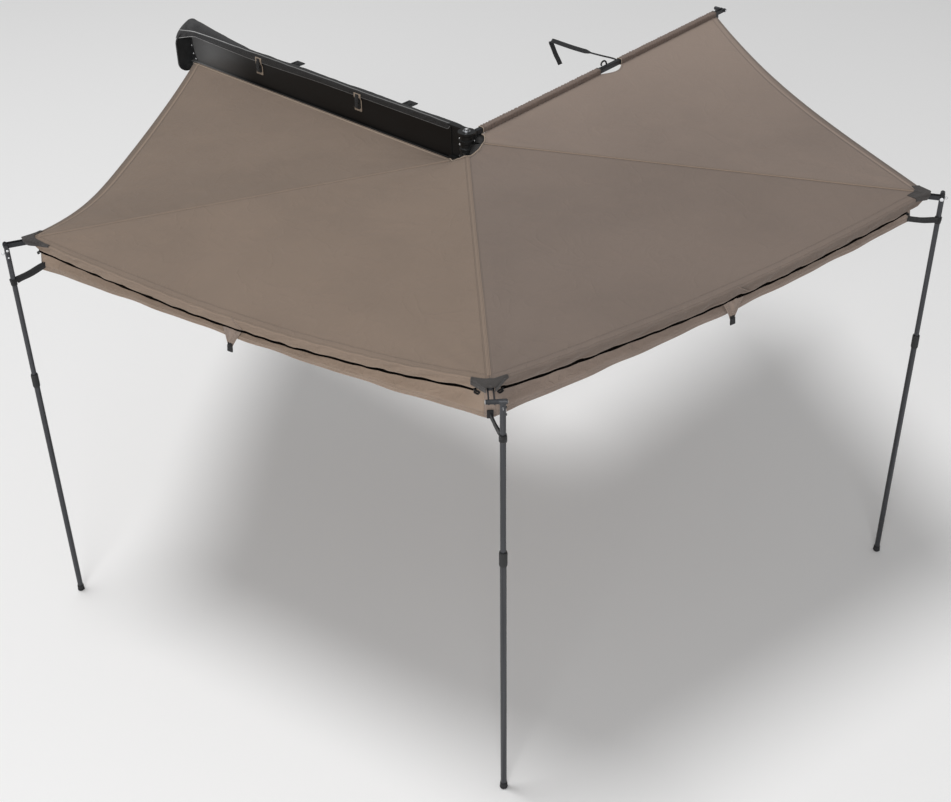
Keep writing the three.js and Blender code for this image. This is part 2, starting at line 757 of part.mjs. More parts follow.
// Foot: a rubber boot with a domed sole on the lower tube's end
function foot(ground) {
  const body = turned([
    [0, ground],
    [footRadius * soleShare, ground],
    [footRadius, ground + footSole / 2],
    [footRadius, ground + footSole],
    [footRadius - footRib, ground + footSole + footRib],
    [footRadius - footRib, ground + footHeight - footSole],
    [lowerRadius + footRib + runningGap, ground + footHeight],
    [0, ground + footHeight],
  ], tubeSides);
  const socket = bar(alongZ, (lowerRadius + runningGap) / Math.cos(Math.PI / tubeSides),
    [ground + footSole - runningGap, ground + footHeight + overrun], [0, 0, 0], tubeSides);
  return cut(body, socket);
}

// Lock ring: a sprung pin through the leg's head, with a split ring to pull it by
function lockRing() {
  const pin = bar(alongX, lockPinRadius, [lockPinStart, lockPinEnd], [0, 0, -lockPinDrop], smallSides);
  const torus = new THREE.TorusGeometry(lockRingRadius, lockRingWire, wireSides, smallSides);
  torus.rotateX(quarterTurn).translate(lockPinEnd + lockRingRadius - lockRingWire / 2, 0, -lockPinDrop);
  return join(pin, solid(torus));
}

// Canopy. A panel runs between two edges, each a point for every step from the hub to the hem.
const ridgeHeight = (k, radius) =>
  level(k) + radius * Math.tan(rise) + armHeight / 2 / Math.cos(rise) + sewnGap;

// A point above arm k, a way off its centre line towards the next arm
function overArm(k, radius, aside) {
  const angle = heading(k);
  return new THREE.Vector3(
    radius * Math.cos(angle) - aside * Math.sin(angle),
    radius * Math.sin(angle) + aside * Math.cos(angle),
    ridgeHeight(k, radius),
  );
}

const panelRows = 8;
const panelColumns = 12;
const hemRows = 1;
const clothLift = new THREE.Vector3(0, 0, clothThickness);
const bellyAt = (t) => 4 * t * (1 - t);

// A point on the cloth's underside between two seams. The edge is cut in a curve and hangs slack.
function clothPoint(near, far, { concavity, sag }, u, t) {
  const point = near(u, ridgeHalfWidth).lerp(far(u, ridgeHalfWidth), t);
  const inward = new THREE.Vector3(-point.x, -point.y, 0).normalize();
  point.addScaledVector(inward, concavity * bellyAt(t) * u ** 3);
  point.z -= sag * bellyAt(t) * u ** 2;
  return point;
}

// Cloth between edges: near(u, aside) and far(u, aside) give points a way in from each seam
function panel(near, far, shape) {
  const pointAt = (i, j) => {
    const u = i / panelRows;
    if (j === 0) return near(u, seamGap / 2);
    if (j === panelColumns) return far(u, seamGap / 2);
    return clothPoint(near, far, shape, u, (j - 1) / (panelColumns - 2));
  };
  return sheet(panelRows, panelColumns, pointAt, () => clothLift);
}

// The way out from the pivot, square to a hem between two arms
function hemOutward(near, far) {
  const across = far(1, ridgeHalfWidth).sub(near(1, ridgeHalfWidth)).setZ(0).normalize();
  return new THREE.Vector3(across.y, -across.x, 0);
}

// The hem's turned-down strip
function hemStrip(near, far, shape) {
  const outward = hemOutward(near, far).multiplyScalar(clothThickness);
  const columns = panelColumns - 2;
  const pointAt = (i, j) => {
    const point = clothPoint(near, far, shape, 1, j / columns).sub(outward);
    point.z += clothThickness / 2 - ((hemFall + clothThickness / 2) * i) / hemRows;
    return point;
  };
  return sheet(hemRows, columns, pointAt, () => outward);
}

const radiusAt = (u) => canopyInner + (canopyReach - canopyInner) * u;
const nearArm = (k) => (u, aside) => overArm(k, radiusAt(u), aside);
const farArm = (k) => (u, aside) => overArm(k, radiusAt(u), -aside);

// The first panel's edge is beaded and slides in the lip along the case's foot
function frontPanel() {
  const wallEdge = (u, aside) => {
    const x = wallEdgeStart + (wallEdgeEnd - wallEdgeStart) * u;
    const y = lipCentre[0] - (aside > seamGap ? lipRadius + wallEdgeFlat : 0);
    return new THREE.Vector3(x, y, lipCentre[1] - clothThickness / 2);
  };
  const shape = { concavity: frontEdgeConcavity, sag: frontEdgeSag };
  const cloth = panel(wallEdge, farArm(1), shape);
  const bead = bar(alongX, beadRadius, [wallEdgeEnd, wallEdgeStart], [0, ...lipCentre], smallSides);
  return join(cloth, bead);
}

// The last panel stops at the sleeve round the last arm
const sleeveSide = armWidth / 2 + sewnGap + sleeveThickness + sewnGap;
const sleeveSeam = (k) => (u, aside) => overArm(k, radiusAt(u), -(aside + sleeveSide));

function sleeve([from, to]) {
  const inner = [armWidth / 2 + sewnGap, armHeight / 2 + sewnGap];
  const outer = inner.map((half) => half + sleeveThickness);
  const shape = roundedRectangle([-outer[0], outer[0]], [-outer[1], outer[1]], armCorner);
  shape.holes.push(roundedRectangle([-inner[0], inner[0]], [-inner[1], inner[1]], armCorner - sleeveThickness));
  return prism(alongX, shape, [from, to]);
}

const hemShape = { concavity: 0, sag: hemSag };

// A panel with a turned-down hem, between two arms
function hemmedPanel(k) {
  const near = nearArm(k);
  const far = farArm(k + 1);
  return join(panel(near, far, hemShape), hemStrip(near, far, hemShape));
}

// A valance hangs behind the hem between two arms, with its lower edge held nearly level
function valance(k) {
  const columns = 30;
  const rows = 3;
  const near = nearArm(k);
  const far = farArm(k + 1);
  const outward = hemOutward(near, far);
  const inset = 2 * clothThickness + sewnGap;
  const margin = (valanceCornerGap - ridgeHalfWidth) / far(1, 0).distanceTo(near(1, 0));
  const pointAt = (i, j) => {
    const t = margin + (1 - 2 * margin) * (j / columns);
    const down = i / rows;
    const top = clothPoint(near, far, hemShape, 1, t);
    const chord = near(1, ridgeHalfWidth).lerp(far(1, ridgeHalfWidth), t);
    const ripple = (1 - Math.cos(t * Math.PI * 2 * valanceFolds)) / 2;
    top.z -= sewnGap;
    top.addScaledVector(outward, -inset - ripple * valanceWave * down);
    top.z += (chord.z - valanceDrop - top.z) * down;
    return top;
  };
  return sheet(rows, columns, pointAt, () => outward.clone().multiplyScalar(clothThickness));
}

// A leg strap: a cuff round the leg and two bands that run up to the canopy's corner
function legStrap(drop) {
  const cuffTop = -drop;
  const centre = [0, 0, 0];
  const cuff = bar(alongZ, upperRadius + sewnGap + legCuffWall, [cuffTop - legCuffHeight, cuffTop],
    centre, tubeSides);
  const legSpace = hole(alongZ, upperRadius + sewnGap, [-upperLength, 0], centre, tubeSides);
  const top = new THREE.Vector3(-cornerInset, -legOffset, -armHeight / 2 - legStrapTop);
  const bands = [-1, 1].map((side) => {
    const foot = new THREE.Vector3(side * upperRadius, -upperRadius - sewnGap - legCuffWall / 2,
      cuffTop - legCuffHeight / 2);
    const head = top.clone().add(new THREE.Vector3((side * legStrapSpread) / 2, 0, 0));
    return band(foot, head, legStrapWidth, legStrapThickness);
  });
  const tab = box(
    [top.x - legStrapSpread, top.x + legStrapSpread],
    [top.y - legStrapWidth / 2, top.y + legStrapWidth / 2],
    [top.z - legStrapThickness, top.z + legStrapThickness],
  );
  return cut(join(cuff, ...bands, tab), legSpace);
}

// A flat band between two points
function band(from, to, width, thickness) {
  const length = from.distanceTo(to);
  const geometry = new THREE.BoxGeometry(thickness, width, length);
  const turn = new THREE.Quaternion().setFromUnitVectors(
    new THREE.Vector3(0, 0, 1),
    to.clone().sub(from).normalize(),
  );
  const middle = from.clone().lerp(to, 0.5);
  return solid(geometry.applyQuaternion(turn).translate(middle.x, middle.y, middle.z));
}

function tieStrap() {
  const route = new THREE.CatmullRomCurve3(tieRoute.map((point) => new THREE.Vector3(...point)));
  const shape = roundedRectangle([-tieThickness / 2, tieThickness / 2], [-tieWidth / 2, tieWidth / 2],
    tieThickness / 4);
  return solid(new THREE.ExtrudeGeometry(shape, {
    steps: tieSteps,
    bevelEnabled: false,
    extrudePath: route,
    curveSegments: 1,
  }));
}

frame.add(part("back_wall", backWall(), caseCoat));
frame.add(part("hinge_head", hingeHead(), darkCoat));
frame.add(part("pivot_bolt", pivotBolt(), brightSteel));
frame.add(part("pivot_nut", pivotNut(), brightSteel));
frame.add(part("front_end_cap", frontEndCap(), blackPlastic));
frame.add(part("bag_flap", bagFlap(), coverCloth));
frame.add(part("bag_lower_flap", lowerFlap(), coverCloth));
frame.add(part("bracket_front", bracket(bracketFront), darkCoat));
frame.add(part("bracket_rear", bracket(bracketRear), darkCoat));
frame.add(part("bracket_bolt_front", bracketBolt(bracketFront), brightSteel));
frame.add(part("bracket_bolt_rear", bracketBolt(bracketRear), brightSteel));
frame.add(part("strap_front", compressionStrap(strapFront), tanWebbing));
frame.add(part("strap_rear", compressionStrap(strapRear), tanWebbing));
frame.add(part("buckle_front", buckle(strapFront), blackPlastic));
frame.add(part("buckle_rear", buckle(strapRear), blackPlastic));

const hubStub = knuckle();
const legFork = fork();
const armSection = armTube();
const legUpper = upperTube();
const legRing = lockRing();

for (let k = 1; k <= armCount; k += 1) {
  const arm = new THREE.Group();
  arm.rotation.z = heading(k);
  arm.position.z = level(k);
  const leaned = new THREE.Group();
  leaned.rotation.y = -rise;
  leaned.add(part(`arm_${k}_tube`, armSection, darkCoat));
  leaned.add(part(`arm_${k}_fork`, legFork, darkCoat));
  arm.add(part(`arm_${k}_knuckle`, hubStub, darkCoat), leaned);

  const leg = new THREE.Group();
  leg.position.set(armReach * Math.cos(rise), legOffset, armReach * Math.sin(rise));
  const ground = -groundDrop - level(k) - leg.position.z;
  leg.add(part(`leg_${k}_upper_tube`, legUpper, legCoat));
  leg.add(part(`leg_${k}_lower_tube`, lowerTube(ground), legCoat));
  leg.add(part(`leg_${k}_collar`, collar(ground), blackPlastic));
  leg.add(part(`leg_${k}_foot`, foot(ground), blackRubber));
  leg.add(part(`leg_${k}_lock_ring`, legRing, brightSteel));
  if (k < armCount) leg.add(part(`leg_strap_${k}`, legStrap(legStrapDrops[k - 1]), webbing));
  arm.add(leg);
  if (k === armCount) {
    leaned.add(part("arm_4_sleeve_inner", sleeve([sleeveStart, sleeveGapStart]), sleeveCloth));
    leaned.add(part("arm_4_sleeve_outer", sleeve([sleeveGapEnd, canopyReach - sleeveTail]), sleeveCloth));
  }
  frame.add(arm);
}

const rearShape = { concavity: rearEdgeConcavity, sag: rearEdgeSag };
frame.add(part("canopy_panel_1", frontPanel(), canopyCloth));
frame.add(part("canopy_panel_2", hemmedPanel(1), canopyCloth));
frame.add(part("canopy_panel_3", hemmedPanel(2), canopyCloth));
frame.add(part("canopy_panel_4", panel(nearArm(3), sleeveSeam(4), rearShape), canopyCloth));
frame.add(part("valance_1_2", valance(1), canopyCloth));
frame.add(part("valance_2_3", valance(2), canopyCloth));
frame.add(part("tie_strap", tieStrap(), webbing));

export default awning;
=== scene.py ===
import math

import bpy
import numpy as np
from mathutils import Matrix, Vector, noise


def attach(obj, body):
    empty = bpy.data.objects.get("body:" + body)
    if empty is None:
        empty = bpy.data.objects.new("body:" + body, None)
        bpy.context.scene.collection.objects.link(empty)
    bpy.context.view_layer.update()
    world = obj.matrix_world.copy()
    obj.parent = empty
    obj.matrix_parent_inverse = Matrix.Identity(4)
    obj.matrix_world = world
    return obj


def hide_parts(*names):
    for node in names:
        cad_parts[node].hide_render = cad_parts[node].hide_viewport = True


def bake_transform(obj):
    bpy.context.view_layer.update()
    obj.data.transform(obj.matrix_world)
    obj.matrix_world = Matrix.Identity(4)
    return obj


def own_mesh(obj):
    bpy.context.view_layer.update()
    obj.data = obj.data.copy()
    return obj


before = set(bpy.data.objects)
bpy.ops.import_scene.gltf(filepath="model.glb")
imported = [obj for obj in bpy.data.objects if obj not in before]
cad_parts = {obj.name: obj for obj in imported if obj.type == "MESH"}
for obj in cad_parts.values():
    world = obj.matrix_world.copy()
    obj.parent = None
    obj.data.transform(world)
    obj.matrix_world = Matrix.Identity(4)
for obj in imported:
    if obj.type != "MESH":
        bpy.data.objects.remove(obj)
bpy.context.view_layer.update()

# The awning's own sizes, in metres, as the part's source has them
HUB = np.array([0.5, -0.1023, -0.05])
GROUND = -1.957
RISE = math.radians(1.5)
ARM_REACH = 2.14
ARM_HALF_HEIGHT = 0.013
LEVEL_PITCH = 0.04
CLOTH_START = 0.082
CLOTH = 0.0016
RIDGE = 0.0145
LIP = (0.029, -0.104)
LEG_ASIDE = 0.038
AXLE_END = 0.0543
UP = np.array([0, 0, 1.0])

# Where the photograph shows the cloth's corners, the pockets' tips, the hem and the gap between the sleeves
CLOTH_REACH = {1: 2.030, 2: 2.026, 3: 2.068, 4: 2.044}
POCKET_TIP = {1: 2.063, 2: 2.072, 3: 2.086}
HEM_FALL = 0.033
SLEEVE_GAP = (1.005, 1.178)

# The cloth of valances, gussets and pockets
STRIP = 0.0014


def heading(k):
    return math.radians(247.5 + 67.5 * (k - 1))


def level(k):
    return (k - 2.5) * LEVEL_PITCH


def along(k):
    """The way out along arm k, as seen from above."""
    return np.array([math.cos(heading(k)), math.sin(heading(k)), 0.0])


def aside(k):
    """Square to arm k, towards the next arm."""
    return np.array([-math.sin(heading(k)), math.cos(heading(k)), 0.0])


# Shader maths
class Socket:
    """A node's output, so that shader maths reads as an expression on numbers."""

    def __init__(self, paint, output):
        self.paint = paint
        self.output = output

    def __add__(self, other):
        return self.paint.math("ADD", self, other)

    def __sub__(self, other):
        return self.paint.math("SUBTRACT", self, other)

    def __rsub__(self, other):
        return self.paint.math("SUBTRACT", other, self)

    def __mul__(self, other):
        return self.paint.math("MULTIPLY", self, other)

    def __pow__(self, other):
        return self.paint.math("POWER", self, other)

    def __abs__(self):
        return self.paint.math("ABSOLUTE", self)

    __radd__ = __add__
    __rmul__ = __mul__


class Paint:
    """One material: a Principled shader and the nodes that feed it."""

    def __init__(self, name, roughness=0.6, metallic=0.0, **constants):
        self.material = bpy.data.materials.new(name)
        self.material.use_nodes = True
        self.tree = self.material.node_tree
        self.shader = self.tree.nodes["Principled BSDF"]
        self.shader.inputs["Roughness"].default_value = roughness
        self.shader.inputs["Metallic"].default_value = metallic
        for key, value in constants.items():
            self.shader.inputs[key.replace("_", " ")].default_value = value
        self.place = self.node("ShaderNodeTexCoord", output="Object")

    def node(self, kind, settings=None, inputs=None, output=0):
        made = self.tree.nodes.new(kind)
        for key, value in (settings or {}).items():
            setattr(made, key, value)
        for key, value in (inputs or {}).items():
            self.feed(made.inputs[key], value)
        return Socket(self, made.outputs[output])

    def feed(self, socket, value):
        if isinstance(value, Socket):
            self.tree.links.new(value.output, socket)
        else:
            socket.default_value = value

    def math(self, operation, *values):
        return self.node("ShaderNodeMath", {"operation": operation}, dict(enumerate(values)))

    def mix(self, factor, first, second):
        mixed = {0: factor, 6: first, 7: second}
        return self.node("ShaderNodeMix", {"data_type": "RGBA", "clamp_factor": True}, mixed, 2)

    def stretched(self, x, y, z):
        return self.node("ShaderNodeVectorMath", {"operation": "MULTIPLY"}, {0: self.place, 1: (x, y, z)})

    def noise(self, scale, detail=3.0, stretch=None, distortion=0.0):
        source = self.stretched(*stretch) if stretch else self.place
        return self.node("ShaderNodeTexNoise", None, {
            "Vector": source, "Scale": scale, "Detail": detail, "Distortion": distortion})

    def ramp(self, value, low, high):
        return self.node("ShaderNodeMapRange", {"interpolation_type": "SMOOTHSTEP"}, {
            "Value": value, "From Min": low, "From Max": high})

    def line(self, value, at, width):
        return 1 - self.ramp(abs(value - at), width * 0.35, width)

    def parts(self, name):
        """The three numbers that a mesh keeps at each of its points under a name."""
        kept = self.node("ShaderNodeAttribute", {"attribute_name": name}, output="Vector")
        split = self.node("ShaderNodeSeparateXYZ", None, {0: kept}).output.node
        return [Socket(self, output) for output in split.outputs]

    def wave(self, value, length):
        return self.math("SINE", value * (2 * math.pi / length))

    def finish(self, colour=None, roughness=None, height=None, depth=0.001):
        if colour is not None:
            self.feed(self.shader.inputs["Base Color"], colour)
        if roughness is not None:
            self.feed(self.shader.inputs["Roughness"], roughness)
        if height is not None:
            normal = self.node("ShaderNodeBump", None, {"Height": height, "Distance": depth})
            self.feed(self.shader.inputs["Normal"], normal)
        return self.material


def colour(red, green, blue):
    """A colour as a screen shows it, from 0 to 255, in the numbers that a shader takes."""
    shown = [c / 255 for c in (red, green, blue)]
    return (*[c / 12.92 if c < 0.04045 else ((c + 0.055) / 1.055) ** 2.4 for c in shown], 1.0)


def shade(tone, by):
    """A tone made lighter or darker, as light is."""
    return (*[min(1.0, c * by) for c in tone[:3]], 1.0)


# Each cloth mesh keeps "cloth": metres along its hem, metres in from its edge, metres from a seam
def canvas(name, tone, stitches, seams=(0.0105,), edge_band=0.0, crease=1.0, hem_light_shade=0.0, painted_lit_end=0.0):
    """Woven canvas with a fine weave, faint mottling, creases, rows of stitches with painted shade in their
    grooves, and painted light and shade along its hems if asked.
    """
    paint = Paint(name, roughness=0.86, Sheen_Weight=0.12, Sheen_Roughness=0.5)
    run, inward, seam = paint.parts("cloth")
    cloudy = paint.noise(1.6, 2.0)
    worn = paint.noise(9.0, 5.0)
    slub = paint.noise(420.0, 2.0, stretch=(1.0, 0.12, 1.0)) * 0.5 + paint.noise(
        420.0, 2.0, stretch=(0.12, 1.0, 1.0)) * 0.5
    weave = paint.wave(run, 0.0016) * paint.wave(inward, 0.0016)
    dashes = paint.ramp(paint.wave(run, 0.0075), -0.5, 0.1)
    rows = 0.0
    shaded_grooves = 0.0
    for at in stitches:
        rows = paint.line(inward, at, 0.0016) * dashes + rows
        shaded_grooves = paint.line(inward, at, 0.005) + shaded_grooves
    cross = paint.ramp(paint.wave(inward, 0.0075), -0.5, 0.1)
    for at in seams:
        rows = paint.line(seam, at, 0.0016) * cross + rows
        shaded_grooves = paint.line(seam, at, 0.005) + shaded_grooves
    fold = 1 - abs(paint.noise(5.0, 2.0, distortion=1.2) * 2 - 1)
    crinkle = 1 - abs(paint.noise(26.0, 3.0, distortion=0.8) * 2 - 1)
    near_edge = 1 - paint.ramp(inward, 0.03, 0.16)
    base = paint.mix(paint.ramp(cloudy, 0.3, 0.7), shade(tone, 0.95), shade(tone, 1.05))
    base = paint.mix(paint.ramp(worn, 0.45, 0.75) * 0.35, base, shade(tone, 1.12))
    base = paint.mix(paint.ramp(slub, 0.55, 0.75) * 0.3, base, shade(tone, 0.86))
    # A darker outer band, a painted highlight along the band's inner edge, and a painted shade line just
    # inside it
    if edge_band:
        band = 1 - paint.ramp(inward, edge_band - 0.004, edge_band)
        base = paint.mix(band * 0.8, base, shade(tone, 0.84))
        base = paint.mix(paint.line(inward, edge_band, 0.009) * 0.75, base, shade(tone, 1.45))
        base = paint.mix(paint.line(inward, edge_band + 0.010, 0.006) * 0.5, base, shade(tone, 0.6))
    # Painted light and shade on the hem's face, lighter on one panel and darker on the other, and a painted
    # highlight along its foot
    if hem_light_shade:
        base = paint.mix((1 - paint.ramp(inward, 0.032, 0.036)) * 0.8, base, shade(tone, hem_light_shade))
        base = paint.mix(paint.line(inward, 0.001, 0.004) * 0.5, base, shade(tone, 1.35))
    # Painted light: the cloth grows lighter towards its far seam
    if painted_lit_end:
        base = paint.mix(paint.ramp(run, -0.5, 1.2), base, shade(tone, painted_lit_end))
    # Painted shade: the cloth darkens in the grooves beside stitch rows and seams
    base = paint.mix(shaded_grooves * 0.34, base, shade(tone, 0.5))
    base = paint.mix(rows * 0.5, base, shade(tone, 1.5))
    height = weave * 0.1 + slub * 0.12 + fold ** 6 * (0.9 * crease)
    height = height + crinkle ** 4 * (near_edge * (0.8 * crease) + 0.08) - shaded_grooves * 0.9 + rows * 0.4
    return paint.finish(base, paint.ramp(worn, 0.2, 0.9) * 0.12 + 0.78, height, 0.0016)


def webbing(name, tone, lengthwise=0.0026):
    """Flat woven strap: a herringbone rib, painted highlights along its edges and a little dust."""
    paint = Paint(name, roughness=0.8, Sheen_Weight=0.1)
    run, across, edge = paint.parts("cloth")
    rib = paint.wave(run + abs(across) * 0.6, lengthwise)
    dust = paint.noise(60.0, 4.0)
    base = paint.mix(paint.ramp(rib, -0.4, 0.8) * 0.45, shade(tone, 0.72), shade(tone, 1.3))
    base = paint.mix(paint.ramp(dust, 0.5, 0.8) * 0.35, base, shade(tone, 1.7))
    # Painted highlight along the strap's edges
    base = paint.mix((1 - paint.ramp(edge, 0.0012, 0.003)) * 0.4, base, shade(tone, 1.5))
    return paint.finish(base, paint.ramp(dust, 0.2, 0.8) * 0.15 + 0.72, rib * 0.5 + dust * 0.3, 0.0005)


def powder_coat(name, tone, roughness=0.45, metallic=0.35, reflection_start=0.0, reflection_tone=None):
    """Powder coat on metal: orange peel, faint handling marks, and a painted reflection that lightens its far
    end if asked.
    """
    paint = Paint(name, roughness=roughness, metallic=metallic, Coat_Roughness=0.25)
    peel = paint.noise(900.0, 2.0)
    marks = paint.noise(14.0, 6.0, stretch=(0.25, 1.0, 1.0), distortion=0.6)
    scuffs = paint.ramp(paint.noise(70.0, 8.0, distortion=1.5), 0.62, 0.72)
    base = paint.mix(paint.ramp(marks, 0.3, 0.75), shade(tone, 0.85), shade(tone, 1.25))
    # Painted reflection: the coat lightens towards its far end
    if reflection_tone:
        x = paint.node("ShaderNodeSeparateXYZ", None, {0: paint.place})
        base = paint.mix(paint.ramp(x, reflection_start, reflection_start - 0.55) * 0.9, base, reflection_tone)
    base = paint.mix(scuffs * 0.2, base, shade(tone, 2.2))
    rough = paint.ramp(marks, 0.2, 0.85) * 0.14 + (roughness - 0.07) + scuffs * 0.08
    return paint.finish(base, rough, peel * 0.4 + marks * 0.2, 0.0004)


def drawn_tube(name, tone, roughness=0.36):
    """Anodised tube: fine lines along its length, a soft streak and scratches round it."""
    paint = Paint(name, roughness=roughness, metallic=0.75)
    lines = paint.noise(260.0, 2.0, stretch=(1.0, 1.0, 0.01))
    streak = paint.noise(10.0, 3.0, stretch=(1.0, 1.0, 0.15))
    rings = paint.ramp(paint.noise(120.0, 3.0, stretch=(0.15, 0.15, 1.0)), 0.66, 0.72)
    base = paint.mix(paint.ramp(lines, 0.3, 0.7), shade(tone, 0.85), shade(tone, 1.15))
    base = paint.mix(rings * 0.25, base, shade(tone, 1.8))
    return paint.finish(base, paint.ramp(streak, 0.2, 0.8) * 0.14 + roughness, lines * 0.3, 0.0002)


def zinc(name, tone, metallic=1.0):
    """Zinc plate: a fine grain and dull stains."""
    paint = Paint(name, roughness=0.3, metallic=metallic)
    grain = paint.noise(300.0, 4.0)
    stain = paint.noise(45.0, 3.0)
    base = paint.mix(paint.ramp(stain, 0.35, 0.75), shade(tone, 0.8), tone)
    return paint.finish(base, paint.ramp(grain, 0.2, 0.9) * 0.2 + 0.22, grain * 0.4, 0.0002)


def moulded(name, tone, roughness=0.55, grain_size=700.0):
    """Moulded plastic or rubber: a fine spark grain, flow marks and dust in the low places."""
    paint = Paint(name, roughness=roughness)
    grain = paint.noise(grain_size, 3.0)
    flow = paint.noise(22.0, 3.0, distortion=0.7)
    base = paint.mix(paint.ramp(flow, 0.3, 0.75), shade(tone, 0.85), shade(tone, 1.3))
    base = paint.mix(paint.ramp(grain, 0.6, 0.8) * 0.3, base, shade(tone, 1.8))
    return paint.finish(base, paint.ramp(flow, 0.2, 0.8) * 0.14 + (roughness - 0.06), grain, 0.0003)


def coated_cloth(name, tone, shaded_hub_end=False):
    """Heavy coated cloth: a slight shine, long soft folds with painted highlights on their crests, small
    crackle, a grid of threads, and painted shade towards the hub end if asked.
    """
    paint = Paint(name, roughness=0.6, Sheen_Weight=0.05)
    run, inward, _ = paint.parts("cloth")
    thread = paint.wave(run, 0.0024) * paint.wave(inward, 0.0024)
    fold = 1 - abs(paint.noise(7.0, 2.0, distortion=1.4, stretch=(0.5, 1.0, 1.0)) * 2 - 1)
    crackle = 1 - abs(paint.noise(38.0, 4.0, distortion=1.0) * 2 - 1)
    stitch = paint.line(inward, 0.012, 0.0016) * paint.ramp(paint.wave(run, 0.008), -0.5, 0.1)
    # Painted highlights on the folds' crests and painted shade in their troughs
    base = paint.mix(paint.ramp(fold, 0.5, 1.0), shade(tone, 0.85), shade(tone, 1.3))
    base = paint.mix(crackle ** 5 * 0.5, base, shade(tone, 1.7))
    base = paint.mix(stitch * 0.6, base, shade(tone, 2.6))
    # Painted shade: the cloth darkens towards the hub end
    if shaded_hub_end:
        x = paint.node("ShaderNodeSeparateXYZ", None, {0: paint.place})
        base = paint.mix(paint.ramp(x, -1.9, -0.9) * 0.85, base, shade(tone, 0.32))
    height = fold ** 4 * 1.2 + crackle ** 4 * 0.5 + thread * 0.08
    return paint.finish(base, paint.ramp(crackle, 0.3, 1.0) * 0.15 + 0.5, height, 0.0022)


TAUPE = colour(137, 119, 104)
COOL_TAUPE = colour(135, 119, 108)
# The panels, tape and strips below are copies of one cloth: their factors paint the light and shade that each
# part gets, and two of them take a cooler taupe
canvas_front = canvas("canvas_front", shade(TAUPE, 0.85), (0.010, 0.046), edge_band=0.036)
canvas_left = canvas("canvas_left", shade(TAUPE, 0.88), (0.039, 0.072), hem_light_shade=1.17)
canvas_right = canvas("canvas_right", shade(COOL_TAUPE, 0.78), (0.039, 0.072), hem_light_shade=0.88)
canvas_rear = canvas("canvas_rear", shade(COOL_TAUPE, 0.91), (0.010, 0.046), edge_band=0.036, painted_lit_end=1.36)
canvas_strip = canvas("canvas_strip", shade(COOL_TAUPE, 1.16), (0.009, 0.02), seams=(), crease=1.4)
# Painted light: a lighter copy of the strip cloth for the left valance
canvas_strip_lit_left = canvas("canvas_strip_lit_left", shade(TAUPE, 1.30), (0.009, 0.02), seams=(), crease=1.4)
canvas_tape = canvas("canvas_tape", shade(TAUPE, 0.97), (), seams=(0.002,), crease=0.3)
canvas_sleeve = canvas("canvas_sleeve", colour(118, 102, 93), (0.012,), seams=(), crease=1.8)
pocket_cloth = canvas("pocket_cloth", colour(61, 57, 55), (0.008,), seams=(), crease=1.2)
piping_cloth = canvas("piping_cloth", colour(158, 142, 126), (), seams=(), crease=0.2)
cover_cloth = coated_cloth("cover_cloth", colour(50, 50, 51), shaded_hub_end=True)
cover_piping = coated_cloth("cover_piping", colour(165, 165, 165), shaded_hub_end=True)
# Painted shade: near-black cloth for the collar, which also stands in for the shade inside the canopy's hole
collar_shade_cloth = coated_cloth("collar_shade_cloth", colour(22, 21, 21))
black_webbing = webbing("black_webbing", colour(25, 25, 27))
# Painted shade: the zip's tape is near black and matte, so that it also carries the shade of the gap under
# the hem
zip_shade_cloth = Paint("zip_shade_cloth", roughness=0.95, Specular_IOR_Level=0.0).finish(colour(10, 9, 8))
tan_webbing = webbing("tan_webbing", colour(158, 142, 126))
# Painted reflection: the grey that the case's coat lightens to at its front end
case_reflection = colour(115, 115, 115)
case_coat = powder_coat("case_coat", colour(20, 20, 20), 0.42, 0.3, reflection_start=-1.1, reflection_tone=case_reflection)
arm_coat = powder_coat("arm_coat", colour(44, 45, 48), 0.42, 0.45)
hinge_coat = powder_coat("hinge_coat", colour(30, 31, 32), 0.38, 0.4)
bracket_coat = powder_coat("bracket_coat", colour(34, 35, 37), 0.5, 0.3)
leg_finish = drawn_tube("leg_finish", colour(72, 73, 76), 0.28)
bright_zinc = zinc("bright_zinc", colour(205, 207, 210))
# Near white and hardly metallic, so the domed heads show painted glints on polished metal
polished_glint = zinc("polished_glint", colour(240, 241, 243), metallic=0.25)
black_plastic = moulded("black_plastic", colour(28, 29, 30))
black_rubber = moulded("black_rubber", colour(36, 36, 38), 0.85, 300.0)

FINISH_OF = {
    "back_wall": case_coat,
    "hinge_head": hinge_coat,
    "pivot_bolt": bright_zinc,
    "pivot_nut": bright_zinc,
    "front_end_cap": black_plastic,
    "bracket_bolt": bright_zinc,
    "bracket": bracket_coat,
    "buckle": black_plastic,
    "tube": leg_finish,
    "collar": black_plastic,
    "foot": black_rubber,
    "lock_ring": bright_zinc,
    "knuckle": hinge_coat,
    "fork": arm_coat,
}
for name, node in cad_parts.items():
    found = next((FINISH_OF[key] for key in FINISH_OF if key in name), arm_coat)
    if name.startswith("arm_") and name.endswith("_tube"):
        found = arm_coat
    node.data.materials.clear()
    node.data.materials.append(found)


# Meshes
def piece(name, points, faces, material, body, smooth=True, cloth=None):
    """A mesh that rides on a body."""
    mesh = bpy.data.meshes.new(name)
    mesh.from_pydata([tuple(p) for p in np.asarray(points, float)], [], faces)
    mesh.materials.append(material)
    if cloth is not None:
        kept = mesh.attributes.new("cloth", "FLOAT_VECTOR", "POINT")
        kept.data.foreach_set("vector", np.asarray(cloth, np.float32).ravel())
    mesh.update()
    mesh.polygons.foreach_set("use_smooth", [smooth] * len(mesh.polygons))
    made = bpy.data.objects.new(name, mesh)
    bpy.context.scene.collection.objects.link(made)
    if body:
        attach(made, body)
    return made


def grid_faces(rows, columns, closed=False):
    faces = []
    for i in range(rows - 1):
        for j in range(columns if closed else columns - 1):
            a, b = i * columns + j, i * columns + (j + 1) % columns
            faces.append((a, b, b + columns, a + columns))
    return faces


